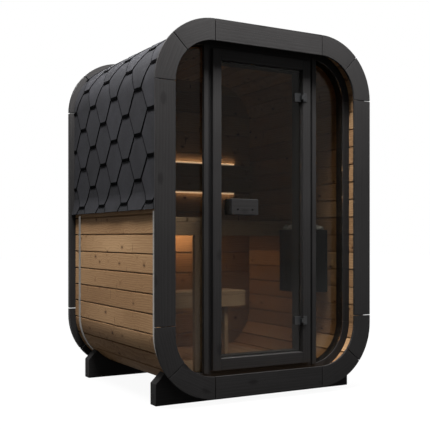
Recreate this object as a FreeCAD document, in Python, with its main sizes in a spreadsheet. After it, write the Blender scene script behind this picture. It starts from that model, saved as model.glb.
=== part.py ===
"""Outdoor sauna cabin: a rounded box of boards between two black trim rings, with a
recessed glass front and a hinged glass door.

Frame: +X to the right seen from the front, +Y into the cabin, +Z up. The origin lies on
the ground, at the centre of the cabin's width and depth. All sizes are in millimetres.
"""
import FreeCAD, Part
import os
import re
import Sketcher
from math import radians

# Driving sizes: name, value, meaning
DRIVING = (
    ("ring_width", 1500, "trim ring, overall width"),
    ("ring_height", 2148, "trim ring, overall height"),
    ("ring_radius", 375, "trim ring, outer corner radius"),
    ("ring_breadth", 124, "trim ring, breadth of its boards"),
    ("ring_clearance", 38, "trim ring, height above the ground"),
    ("front_ring_thickness", 16, "front trim ring, board thickness"),
    ("rear_ring_thickness", 38, "rear trim ring, board thickness"),
    ("ring_joint", 6, "open joint between two boards of a ring"),
    ("upper_split", 45, "angle of the joint in an upper corner of a ring"),
    ("lower_split", 39, "angle of the joint in a lower corner of a ring"),
    ("lower_joint_rise", 47, "lower side joint of a ring, height above the end of its arc"),
    ("cabin_depth", 1414, "overall depth, front ring to rear ring"),
    ("shell_inset", 40, "overhang of the rings past the shell"),
    ("wall_thickness", 38, "shell boards, thickness"),
    ("seat_gap", 0.2, "clearance where curved faces seat on one another"),
    ("eave_height", 1108, "lower edge of the shingles"),
    ("kick_height", 82, "height of the kicked-out eave course"),
    ("eave_kick", 20, "how far the eave course kicks out"),
    ("kick_gap", 1, "eave batten, its top below the top of the eave course"),
    ("shingle_thickness", 8, "shingle skin, overlaps included"),
    ("strap_width", 36, "steel strap, width"),
    ("strap_thickness", 2, "steel strap, thickness"),
    ("front_strap_setback", 77, "front strap, behind the front ring's face"),
    ("rear_strap_gap", 3, "space between the rear foot and its strap"),
    ("strap_tail", 12, "space between a strap's end and the eave batten"),
    ("foot_inset", 69, "cradle foot, its end in from the ring's side"),
    ("foot_thickness", 73, "cradle foot, thickness"),
    ("foot_end_height", 124, "cradle foot, height of its end face"),
    ("front_foot_setback", 140, "front foot, behind the front ring's face"),
    ("rear_foot_setback", 148, "rear foot, ahead of the rear ring's face"),
    ("frame_setback", 110, "front frame, behind the front ring's face"),
    ("frame_depth", 75, "front frame, depth"),
    ("frame_breadth", 48, "front frame, breadth of its boards"),
    ("post_width", 52, "glazing post beside the door casing, width"),
    ("bead_width", 29, "raised bead on a glazing post, width"),
    ("bead_depth", 17, "raised bead on a glazing post, height over the post"),
    ("pane_thickness", 8, "fixed pane, thickness"),
    ("pane_setback", 8, "fixed pane, behind the front frame's face"),
    ("casing_setback", 80, "door casing, behind the front ring's face"),
    ("casing_inset", 30, "door casing, its side in from the start of the rounded corners"),
    ("head_board", 22, "board above the door casing, height"),
    ("sill_board", 15, "board under the door casing, height"),
    ("stile_width", 56, "door casing, width of a stile"),
    ("head_width", 60, "door casing, height of its head"),
    ("sill_width", 67, "door casing, height of its sill"),
    ("stop_width", 12, "door casing, width of its stop"),
    ("leaf_thickness", 8, "door leaf, glass thickness"),
    ("leaf_setback", 22, "door leaf, behind the casing's face"),
    ("leaf_clearance", 5, "space between the leaf and the casing"),
    ("hinge_drop", 169, "upper hinge, centre below the doorway's top"),
    ("hinge_rise", 194, "lower hinge, centre above the doorway's bottom"),
    ("hinge_height", 52, "hinge, height"),
    ("clamp_length", 46, "hinge clamp, length on the glass"),
    ("clamp_thickness", 8, "hinge clamp, plate thickness"),
    ("knuckle_radius", 6, "hinge knuckle, radius"),
    ("pin_radius", 3, "hinge pin, radius"),
    ("pin_clearance", 0.1, "hinge pin, radial clearance"),
    ("knuckle_gap", 0.5, "space between two knuckles of a hinge"),
    ("knuckle_inset", 2, "hinge axis, beyond the side of the doorway"),
    ("jamb_plate_width", 20, "hinge jamb plate, width"),
    ("jamb_plate_thickness", 3, "hinge jamb plate, thickness"),
    ("handle_length", 184, "handle block, length"),
    ("handle_height", 93, "handle block, height"),
    ("handle_thickness", 28, "handle block, thickness"),
    ("handle_standoff", 12, "handle block, distance from the glass"),
    ("handle_inset", 149, "handle block, centre in from the doorway's left side"),
    ("handle_level", 1128, "handle block, centre above the ground"),
    ("bolt_spread", 110, "handle bolts, distance apart"),
    ("bolt_radius", 5, "handle bolt, radius"),
    ("bolt_clearance", 1, "handle bolt, radial clearance in the glass"),
    ("collar_radius", 11, "handle collar, radius"),
    ("back_wall_setback", 61, "back wall, its rear face ahead of the rear ring's face"),
    ("back_wall_thickness", 38, "back wall, thickness"),
    ("bearer_height", 12, "floor bearer, height"),
    ("bearer_width", 60, "floor bearer, width"),
    ("floor_thickness", 18, "floor boards, thickness"),
    ("floor_margin", 6, "space round the floor boards"),
    ("upper_seat_level", 1065, "upper benches, top above the ground"),
    ("lower_seat_level", 604, "lower bench, top above the ground"),
    ("seat_thickness", 26, "bench seat, thickness"),
    ("apron_height", 76, "bench front board, height under the seat"),
    ("apron_thickness", 26, "bench front board, thickness"),
    ("back_seat_share", 0.51, "upper back bench, depth as a share of the room's"),
    ("side_seat_width", 321, "upper side bench, width"),
    ("lower_seat_reach", 192, "lower bench, how far it stands out from the upper one"),
    ("lower_seat_depth", 240, "lower bench, depth"),
    ("heater_aisle", 287, "space between the lower bench's end and the heater's side"),
    ("leg_width", 53, "side bench leg, width"),
    ("leg_depth", 36, "side bench leg, depth"),
    ("panel_leg_inset", 143, "lower bench, its upright board in from the right end"),
    ("panel_leg_thickness", 28, "lower bench, thickness of its upright board"),
    ("cleat_height", 60, "bench cleat, height"),
    ("cleat_thickness", 26, "bench cleat, thickness"),
    ("backrest_bottom", 1294, "backrest, bottom above the ground"),
    ("backrest_board", 97, "backrest board, height"),
    ("backrest_gap", 6, "space between the two backrest boards"),
    ("backrest_thickness", 22, "backrest board, thickness"),
    ("backrest_standoff", 23, "backrest boards, distance from the back wall"),
    ("batten_width", 45, "backrest batten, width"),
    ("light_gap", 4, "light strip, distance above or below the backrest"),
    ("light_height", 12, "light strip, height"),
    ("light_depth", 10, "light strip, depth"),
    ("light_margin", 144, "light strip, its right end from the wall"),
    ("heater_width", 277, "heater, width along the wall"),
    ("heater_depth", 192, "heater, depth from the wall"),
    ("heater_height", 410, "heater, height of its casing"),
    ("heater_bottom", 590, "heater, bottom above the ground"),
    ("heater_share", 0.4, "heater, share of the spare depth that lies in front of it"),
    ("heater_sheet", 3, "heater casing, sheet thickness"),
    ("heater_well", 150, "heater, depth of the stone well"),
    ("heater_wall_gap", 30, "heater, distance from the wall"),
    ("stone_rise", 45, "heater stones, height above the casing"),
)

# Sizes that follow from the driving ones: name, formula
DERIVED = (
    ("ring_half", "ring_width / 2"),
    ("ring_top", "ring_clearance + ring_height"),
    ("upper_arc", "ring_top - ring_radius"),
    ("lower_arc", "ring_clearance + ring_radius"),
    ("arc_side", "ring_half - ring_radius"),
    ("lower_joint", "lower_arc + lower_joint_rise"),
    ("front", "-cabin_depth / 2"),
    ("rear", "cabin_depth / 2"),
    ("shell_front", "front + front_ring_thickness"),
    ("shell_rear", "rear - rear_ring_thickness"),
    ("shell_length", "shell_rear - shell_front"),
    ("inner_inset", "shell_inset + wall_thickness"),
    ("shell_half", "ring_half - shell_inset"),
    ("inner_half", "ring_half - inner_inset"),
    ("inner_bottom", "ring_clearance + inner_inset"),
    ("skin_inset", "shell_inset - seat_gap"),
    ("skin_outer_inset", "skin_inset - shingle_thickness"),
    ("strap_outer_inset", "skin_inset - strap_thickness"),
    ("kick_top", "eave_height + kick_height"),
    ("lining_inset", "inner_inset + seat_gap"),
    ("frame_front", "front + frame_setback"),
    ("frame_back", "frame_front + frame_depth"),
    ("frame_inner_inset", "lining_inset + frame_breadth"),
    ("frame_sill", "ring_clearance + frame_inner_inset"),
    ("frame_head", "ring_top - frame_inner_inset"),
    ("glazing_inset", "frame_inner_inset + seat_gap"),
    ("pane_front", "frame_front + pane_setback"),
    ("pane_back", "pane_front + pane_thickness"),
    ("casing_half", "arc_side - casing_inset"),
    ("casing_front", "front + casing_setback"),
    ("casing_bottom", "frame_sill + sill_board"),
    ("casing_top", "frame_head - head_board"),
    ("post_inner", "casing_half + seat_gap"),
    ("post_half", "casing_half + post_width"),
    ("doorway_half", "casing_half - stile_width"),
    ("doorway_bottom", "casing_bottom + sill_width"),
    ("doorway_top", "casing_top - head_width"),
    ("leaf_front", "casing_front + leaf_setback"),
    ("leaf_back", "leaf_front + leaf_thickness"),
    ("stop_front", "leaf_back + leaf_clearance"),
    ("leaf_half", "doorway_half - leaf_clearance"),
    ("leaf_bottom", "doorway_bottom + leaf_clearance"),
    ("leaf_top", "doorway_top - leaf_clearance"),
    ("hinge_side", "doorway_half + knuckle_inset"),
    ("hinge_top", "doorway_top - hinge_drop"),
    ("hinge_bottom", "doorway_bottom + hinge_rise"),
    ("hinge_front", "casing_front - knuckle_radius"),
    ("handle_centre", "handle_inset - doorway_half"),
    ("foot_half", "ring_half - foot_inset"),
    ("back_wall_front", "rear - back_wall_setback - back_wall_thickness"),
    ("floor_bottom", "inner_bottom + bearer_height"),
    ("floor_top", "floor_bottom + floor_thickness"),
    ("room_front", "frame_back + floor_margin"),
    ("room_back", "back_wall_front"),
    ("back_seat_depth", "(room_back - room_front) * back_seat_share"),
    ("back_seat_front", "room_back - back_seat_depth"),
    ("side_seat_inner", "side_seat_width - inner_half"),
    ("lower_front", "back_seat_front - lower_seat_reach"),
    ("lower_back", "lower_front + lower_seat_depth"),
    ("heater_back", "inner_half - heater_wall_gap"),
    ("heater_side", "heater_back - heater_depth"),
    ("lower_seat_end", "heater_side - heater_aisle"),
    ("heater_near", "room_front + (back_seat_front - room_front - heater_width) * heater_share"),
    ("heater_far", "heater_near + heater_width"),
    ("heater_top", "heater_bottom + heater_height"),
)

MARGIN = 50  # how far a cutting block reaches past what it cuts

doc = FreeCAD.newDocument("SaunaCabin")
sheet = doc.addObject("Spreadsheet::Sheet", "Sizes")
parts = {}


def fill_sheet():
    """Write the driving and derived sizes, one row each, with the name as alias."""
    rows = [(name, str(value), note) for name, value, note in DRIVING]
    rows += [(name, "=" + formula, "derived") for name, formula in DERIVED]
    for number, (name, text, note) in enumerate(rows, start=1):
        sheet.set(f"A{number}", name)
        sheet.set(f"B{number}", text)
        sheet.set(f"C{number}", note)
        sheet.setAlias(f"B{number}", name)
    doc.recompute()


ALIASES = {row[0] for row in DRIVING + DERIVED}


def formula(text):
    """The text as an expression that any object can be bound to."""
    return re.sub(r"[a-z_]+", lambda word: "Sizes." + word[0] if word[0] in ALIASES else word[0], text)


def value(text):
    """The number that a formula gives now, worked out in a cell of the sheet."""
    sheet.set("E1", "=" + text)
    sheet.recompute()
    return float(sheet.get("E1"))


def bind(thing, **properties):
    """Bind properties of an object to formulas."""
    for name, text in properties.items():
        thing.setExpression(name.replace("__", "."), formula(text))


def place(thing, x="0", y="0", z="0"):
    """Bind an object's position to formulas."""
    bind(thing, Placement__Base__x=x, Placement__Base__y=y, Placement__Base__z=z)


def piece(name, thing):
    """Keep an object as a finished piece of the cabin."""
    thing.Label = name
    parts[name] = thing
    return thing


def block(x, y, z):
    """A box between two formulas along each axis."""
    thing = doc.addObject("Part::Box", "Block")
    bind(thing, Length=f"({x[1]}) - ({x[0]})", Width=f"({y[1]}) - ({y[0]})", Height=f"({z[1]}) - ({z[0]})")
    place(thing, x[0], y[0], z[0])
    return thing


def blocks_on_both_sides(x, y, z):
    """A box on the right of the centre and its mirror image on the left."""
    return [block(x, y, z), block((f"-({x[1]})", f"-({x[0]})"), y, z)]


def boolean(kind, base, tool):
    thing = doc.addObject("Part::" + kind, kind)
    thing.Base = base
    thing.Tool = tool
    return thing


def common(base, tool):
    return boolean("Common", base, tool)


def cut(base, tool):
    return boolean("Cut", base, tool)


def fuse(things):
    thing = doc.addObject("Part::MultiFuse", "Fusion")
    thing.Shapes = things
    thing.Refine = True
    return thing


def group(things):
    """Separate solids that make up one node."""
    thing = doc.addObject("Part::Compound", "Group")
    thing.Links = things
    return thing


def cylinder(radius, length, x, y, z):
    """An upright cylinder."""
    thing = doc.addObject("Part::Cylinder", "Cylinder")
    bind(thing, Radius=radius, Height=length)
    place(thing, x, y, z)
    return thing


def cross_cylinder(radius, length, x, y, z):
    """A cylinder lying along +Y from its near end."""
    thing = doc.addObject("Part::Cylinder", "CrossCylinder")
    thing.Placement.Rotation = FreeCAD.Rotation(FreeCAD.Vector(1, 0, 0), -90)
    bind(thing, Radius=radius, Height=length)
    place(thing, x, y, z)
    return thing


def new_sketch(body, role):
    plane = next(item for item in body.Origin.OriginFeatures if item.Role == role)
    sketch = body.newObject("Sketcher::SketchObject", "Profile")
    sketch.AttachmentSupport = (plane, "")
    sketch.MapMode = "FlatFace"
    return sketch


def constrain(sketch, kind, *arguments, text=None):
    """Add a constraint, bound to a formula when one is given."""
    if text is None:
        return sketch.addConstraint(Sketcher.Constraint(kind, *arguments))
    index = sketch.addConstraint(Sketcher.Constraint(kind, *arguments, value(text)))
    sketch.setExpression(f"Constraints[{index}]", formula(text))
    return index


def draw_loop(sketch, inset):
    """Draw the ring's rounded outline, moved inwards by the inset."""
    half = value(f"ring_half - {inset}")
    low = value(f"ring_clearance + {inset}")
    high = value(f"ring_top - {inset}")
    radius = value(f"ring_radius - {inset}")
    side, bottom, top = half - radius, low + radius, high - radius
    point = FreeCAD.Vector
    lines = (
        (-side, low, side, low), (half, bottom, half, top),
        (side, high, -side, high), (-half, top, -half, bottom),
    )
    corners = ((side, bottom, -90), (side, top, 0), (-side, top, 90), (-side, bottom, 180))
    first = sketch.GeometryCount
    for (x0, z0, x1, z1), (cx, cz, start) in zip(lines, corners):
        sketch.addGeometry(Part.LineSegment(point(x0, z0, 0), point(x1, z1, 0)))
        circle = Part.Circle(point(cx, cz, 0), point(0, 0, 1), radius)
        sketch.addGeometry(Part.ArcOfCircle(circle, radians(start), radians(start + 90)))
    for step in range(4):
        line, arc, following = first + 2 * step, first + 2 * step + 1, first + (2 * step + 2) % 8
        constrain(sketch, "Tangent", line, 2, arc, 1)
        constrain(sketch, "Tangent", arc, 2, following, 1)
        constrain(sketch, "Horizontal" if step % 2 == 0 else "Vertical", line)
    for arc in (first + 3, first + 5, first + 7):
        constrain(sketch, "Equal", first + 1, arc)
    constrain(sketch, "Radius", first + 1, text=f"ring_radius - {inset}")
    constrain(sketch, "DistanceY", -1, 1, first, 1, text=f"ring_clearance + {inset}")
    constrain(sketch, "DistanceX", -1, 1, first + 2, 1, text=f"ring_half - {inset}")
    constrain(sketch, "DistanceY", -1, 1, first + 4, 1, text=f"ring_top - {inset}")
    constrain(sketch, "DistanceX", -1, 1, first + 6, 1, text=f"{inset} - ring_half")


def hoop(name, insets, front, depth):
    """A rounded frame, or a plate with one inset, that stands across the cabin."""
    body = doc.addObject("PartDesign::Body", name)
    sketch = new_sketch(body, "XZ_Plane")
    for inset in insets:
        draw_loop(sketch, inset)
    pad = body.newObject("PartDesign::Pad", "Pad")
    pad.Profile = sketch
    pad.Reversed = True
    bind(pad, Length=depth)
    place(body, y=front)
    return body


def profile(name, role, points, length, x="0", y="0", z="0", backwards=False):
    """A straight piece: a polygon of formulas, padded to a length."""
    body = doc.addObject("PartDesign::Body", name)
    sketch = new_sketch(body, role)
    places = [FreeCAD.Vector(value(u), value(v), 0) for u, v in points]
    for index, start in enumerate(places):
        sketch.addGeometry(Part.LineSegment(start, places[(index + 1) % len(places)]))
    for index, (u, v) in enumerate(points):
        constrain(sketch, "Coincident", index, 2, (index + 1) % len(points), 1)
        constrain(sketch, "DistanceX", -1, 1, index, 1, text=u)
        constrain(sketch, "DistanceY", -1, 1, index, 1, text=v)
    pad = body.newObject("PartDesign::Pad", "Pad")
    pad.Profile = sketch
    pad.Reversed = backwards
    bind(pad, Length=length)
    place(body, x, y, z)
    return body


def split_slot(side, level, angle, front, depth):
    """The open joint that splits a ring's corner at an angle above the horizontal."""
    slot = doc.addObject("Part::Box", "Slot")
    slot.Placement.Rotation = FreeCAD.Rotation(FreeCAD.Vector(0, -1, 0), value(angle))
    bind(slot, Length="ring_width", Width=depth, Height="ring_joint", Placement__Rotation__Angle=angle)
    place(slot, f"{side} + ring_joint / 2 * sin({angle})", front, f"{level} - ring_joint / 2 * cos({angle})")
    return slot


def trim_ring(name, front, depth):
    """A trim ring: straight boards between eight corner boards, with open joints."""
    ring = hoop(name + "_outline", ("0", "ring_breadth"), front, depth)
    across = (front, f"{front} + {depth}")
    full = (f"-{MARGIN}", f"ring_top + {MARGIN}")
    rail_reach = "arc_side - ring_joint / 2"
    rails = common(ring, block((f"-({rail_reach})", rail_reach), across, full))
    stile_span = ("lower_joint + ring_joint / 2", "upper_arc - ring_joint / 2")
    stiles = common(ring, block(("-ring_half", "ring_half"), across, stile_span))
    corner_side = ("arc_side + ring_joint / 2", "ring_half")
    levels = ((full[0], "lower_joint - ring_joint / 2"), ("upper_arc + ring_joint / 2", full[1]))
    regions = []
    for level in levels:
        regions.extend(blocks_on_both_sides(corner_side, across, level))
    splits = (
        ("arc_side", "upper_arc", "upper_split"),
        ("-arc_side", "upper_arc", "180 - upper_split"),
        ("arc_side", "lower_arc", "-lower_split"),
        ("-arc_side", "lower_arc", "180 + lower_split"),
    )
    slots = [split_slot(side, level, angle, front, depth) for side, level, angle in splits]
    corners = cut(common(ring, group(regions)), group(slots))
    piece(name + "_boards", group([rails, stiles]))
    piece(name + "_corner_boards", corners)


def shell():
    """The board shell: a rounded tube, split where its flats meet its corners."""
    tube = hoop("shell_outline", ("shell_inset", "inner_inset"), "shell_front", "shell_length")
    depth = ("shell_front", "shell_rear")
    middle = ("lower_arc", "upper_arc")
    piece("left_wall", common(tube, block(("-ring_half", "0"), depth, middle)))
    piece("right_wall", common(tube, block(("0", "ring_half"), depth, middle)))
    inside = ("-arc_side", "arc_side")
    piece("bottom_deck", common(tube, block(inside, depth, ("0", "lower_arc"))))
    piece("roof_deck", common(tube, block(inside, depth, ("upper_arc", "ring_top"))))
    corners = (("lower_corner_walls", ("0", "lower_arc")), ("upper_corner_walls", ("upper_arc", "ring_top")))
    for name, level in corners:
        sides = blocks_on_both_sides(("arc_side", "ring_half"), depth, level)
        piece(name, common(tube, group(sides)))


def roofing():
    """The shingle skin over the roof and the upper walls, and its kicked-out eaves."""
    skin = hoop("skin_outline", ("skin_outer_inset", "skin_inset"), "shell_front", "shell_length")
    depth = ("shell_front", "shell_rear")
    inside = ("-arc_side", "arc_side")
    piece("roof_shingles", common(skin, block(inside, depth, ("upper_arc", "ring_top"))))
    corners = blocks_on_both_sides(("arc_side", "ring_half"), depth, ("upper_arc", "ring_top"))
    piece("corner_shingles", common(skin, group(corners)))
    piece("side_shingles", common(skin, block(("-ring_half", "ring_half"), depth, ("kick_top", "upper_arc"))))
    courses, battens = [], []
    for side in ("", "-"):
        wall = f"{side}(ring_half - skin_inset)"
        kicked = f"{side}(ring_half - skin_inset + eave_kick)"
        outer_top = f"{side}(ring_half - skin_outer_inset)"
        outer_low = f"{side}(ring_half - skin_outer_inset + eave_kick)"
        behind = f"{kicked} - {side}seat_gap"
        course = ((wall, "kick_top"), (kicked, "eave_height"), (outer_low, "eave_height"), (outer_top, "kick_top"))
        batten = ((wall, "kick_top - kick_gap"), (wall, "eave_height"), (behind, "eave_height"))
        for name, points, store in (("eave_course", course, courses), ("eave_batten", batten, battens)):
            store.append(profile(name, "XZ_Plane", points, "shell_length", y="shell_front", backwards=True))
    piece("eave_shingles", group(courses))
    piece("eave_battens", group(battens))


def straps_and_feet():
    """Two cradle feet under the shell, and a steel strap outside each of them."""
    front_foot = "front + front_foot_setback"
    rear_foot = "rear - rear_foot_setback - foot_thickness"
    outline = hoop("cradle_outline", ("skin_inset",), "front", "cabin_depth")
    end, low, reach = "foot_half", "foot_end_height", "wall_thickness * 2"
    points = (
        (f"-{end}", "0"), (end, "0"), (end, low), (f"{end} - {reach}", f"{low} + {reach}"),
        (f"-({end} - {reach})", f"{low} + {reach}"), (f"-{end}", low),
    )
    for name, near in (("front_foot", front_foot), ("rear_foot", rear_foot)):
        beam = profile(name + "_beam", "XZ_Plane", points, "foot_thickness", y=near, backwards=True)
        piece(name, cut(beam, outline))
    straps = []
    nears = ("front + front_strap_setback", f"{rear_foot} + foot_thickness + rear_strap_gap")
    for near in nears:
        band = hoop("strap_outline", ("strap_outer_inset", "skin_inset"), near, "strap_width")
        across = (near, f"{near} + strap_width")
        below = block(("-ring_half", "ring_half"), across, ("0", "eave_height - strap_tail"))
        straps.append(common(band, below))
    piece("steel_straps", group(straps))


def front_wall():
    """The recessed glass front: curved frame, posts, panes, head, sill and door casing."""
    depth = ("frame_front", "frame_back")
    frame = hoop("frame_outline", ("lining_inset", "frame_inner_inset"), "frame_front", "frame_depth")
    inside = ("-arc_side", "arc_side")
    rails = common(frame, block(inside, depth, ("0", "ring_top")))
    stiles = common(frame, block(("-ring_half", "ring_half"), depth, ("lower_arc", "upper_arc")))
    piece("front_frame_boards", group([rails, stiles]))
    regions = []
    for level in (("0", "lower_arc"), ("upper_arc", "ring_top")):
        regions.extend(blocks_on_both_sides(("arc_side", "ring_half"), depth, level))
    piece("front_frame_corners", common(frame, group(regions)))

    inner = hoop("glazing_outline", ("glazing_inset",), "casing_front", "frame_back - casing_front")
    posts = []
    for side in ("", "-"):
        points = (
            (f"{side}post_inner", "frame_front"), (f"{side}(post_half - bead_width)", "frame_front"),
            (f"{side}(post_half - bead_width)", "frame_front - bead_depth"),
            (f"{side}post_half", "frame_front - bead_depth"), (f"{side}post_half", "pane_front"),
            (f"{side}post_inner", "pane_front"),
        )
        posts.append(common(profile("post_profile", "XY_Plane", points, "ring_top"), inner))
    piece("front_posts", group(posts))
    sides = blocks_on_both_sides(("post_inner", "ring_half"), ("pane_front", "pane_back"), ("0", "ring_top"))
    piece("side_panes", common(inner, group(sides)))
    between = ("-casing_half", "casing_half")
    head = block(between, depth, ("casing_top + seat_gap", "frame_head - seat_gap"))
    sill = block(between, depth, ("frame_sill + seat_gap", "casing_bottom - seat_gap"))
    piece("head_and_sill", group([head, sill]))

    stiles, rails = [], []
    stop = "doorway_half - stop_width"
    casing_height = "casing_top - casing_bottom"
    for side in ("", "-"):
        points = (
            (f"{side}doorway_half", "casing_front"), (f"{side}casing_half", "casing_front"),
            (f"{side}casing_half", "frame_back"), (f"{side}({stop})", "frame_back"),
            (f"{side}({stop})", "stop_front"), (f"{side}doorway_half", "stop_front"),
        )
        stiles.append(profile("stile_profile", "XY_Plane", points, casing_height, z="casing_bottom"))
    rail_edges = (("doorway_top", "casing_top", "doorway_top - stop_width"),
                  ("doorway_bottom", "casing_bottom", "doorway_bottom + stop_width"))
    for edge, outer, lip in rail_edges:
        face_level, back_level = sorted_pair(edge, outer), sorted_pair(lip, outer)
        face = block(("-doorway_half", "doorway_half"), ("casing_front", "stop_front"), face_level)
        back = block((f"-({stop})", stop), ("stop_front", "frame_back"), back_level)
        rails.append(fuse([face, back]))
    piece("casing_stiles", group(stiles))
    piece("casing_rails", group(rails))


def sorted_pair(first, second):
    """Two formulas, the lower value first."""
    return (first, second) if value(first) < value(second) else (second, first)


def door():
    """The door: glass leaf, handle blocks on both faces, and two knuckle hinges."""
    leaf = block(("-leaf_half", "leaf_half"), ("leaf_front", "leaf_back"), ("leaf_bottom", "leaf_top"))
    holes = []
    bolts = []
    for side in ("", "-"):
        across = f"handle_centre + {side}bolt_spread / 2"
        holes.append(cross_cylinder("bolt_radius + bolt_clearance", "leaf_thickness * 3", across,
                                    "leaf_front - leaf_thickness", "handle_level"))
        bolts.append(across)
    piece("door_leaf", cut(leaf, group(holes)))
    span = ("handle_centre - handle_length / 2", "handle_centre + handle_length / 2")
    level = ("handle_level - handle_height / 2", "handle_level + handle_height / 2")
    outer_front = "leaf_front - handle_standoff - handle_thickness"
    inner_back = "leaf_back + handle_standoff + handle_thickness"
    solids = [
        block(span, (outer_front, "leaf_front - handle_standoff"), level),
        block(span, ("leaf_back + handle_standoff", inner_back), level),
    ]
    for across in bolts:
        solids.append(cross_cylinder("bolt_radius", "leaf_thickness + 2 * handle_standoff", across,
                                     "leaf_front - handle_standoff", "handle_level"))
        solids.append(cross_cylinder("collar_radius", "handle_standoff", across,
                                     "leaf_front - handle_standoff", "handle_level"))
        solids.append(cross_cylinder("collar_radius", "handle_standoff", across, "leaf_back", "handle_level"))
    piece("door_handle", fuse(solids))

    clamps, jambs = [], []
    clamp_right = "leaf_half"
    clamp_left = "leaf_half - clamp_length"
    arm_left = "leaf_half - clamp_thickness"
    neck_front, neck_back = "hinge_front - knuckle_radius / 2", "hinge_front + knuckle_radius / 2"
    quarter = "hinge_height / 4"
    for centre in ("hinge_top", "hinge_bottom"):
        low, high = f"{centre} - hinge_height / 2", f"{centre} + hinge_height / 2"
        knuckle_low, knuckle_high = f"{centre} - {quarter}", f"{centre} + {quarter}"
        knuckle_level = (knuckle_low, knuckle_high)
        plate = block((clamp_left, clamp_right), ("leaf_front - clamp_thickness", "leaf_front"), (low, high))
        arm = block((arm_left, clamp_right), (neck_front, "leaf_front - clamp_thickness"), knuckle_level)
        neck = block((arm_left, "hinge_side"), (neck_front, neck_back), knuckle_level)
        barrel = cylinder("knuckle_radius", "hinge_height / 2", "hinge_side", "hinge_front", knuckle_low)
        bore = cylinder("pin_radius + pin_clearance", "hinge_height", "hinge_side", "hinge_front", low)
        clamps.append(cut(fuse([plate, arm, neck, barrel]), bore))
        back_plate = block((clamp_left, "leaf_half - stop_width - leaf_clearance"),
                           ("leaf_back", "leaf_back + clamp_thickness"), (low, high))
        clamps.append(back_plate)
        pin = cylinder("pin_radius", "hinge_height", "hinge_side", "hinge_front", low)
        end_knuckle, upper_low = f"{quarter} - knuckle_gap", f"{knuckle_high} + knuckle_gap"
        lower = cylinder("knuckle_radius", end_knuckle, "hinge_side", "hinge_front", low)
        upper = cylinder("knuckle_radius", end_knuckle, "hinge_side", "hinge_front", upper_low)
        plate_depth = ("casing_front - jamb_plate_thickness", "casing_front")
        plate_end = "hinge_side + knuckle_radius + jamb_plate_width"
        mount = block(("hinge_side + knuckle_radius + knuckle_gap", plate_end), plate_depth, (low, high))
        tabs = [block(("hinge_side", plate_end), plate_depth, span)
                for span in ((low, f"{knuckle_low} - knuckle_gap"), (upper_low, high))]
        jambs.append(fuse([pin, lower, upper, mount, *tabs]))
    piece("hinge_clamps", group(clamps))
    piece("hinge_jambs", group(jambs))


def room():
    """The back wall and the floor."""
    piece("back_wall", hoop("back_wall_plate", ("lining_inset",), "back_wall_front", "back_wall_thickness"))
    bore = hoop("floor_outline", ("lining_inset",), "frame_back", "back_wall_front - frame_back")
    level = ("floor_bottom", "floor_top")
    boards = block(("-ring_half", "ring_half"), ("room_front", "room_back - floor_margin"), level)
    piece("floor_boards", common(bore, boards))
    bearers = []
    bearer_level = ("inner_bottom", "floor_bottom")
    middle = "(room_front + room_back - bearer_width) / 2"
    for spot in ("room_front", middle, "room_back - bearer_width - floor_margin"):
        bar = block(("-ring_half", "ring_half"), (spot, f"{spot} + bearer_width"), bearer_level)
        bearers.append(common(bore, bar))
    piece("floor_bearers", group(bearers))


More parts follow.
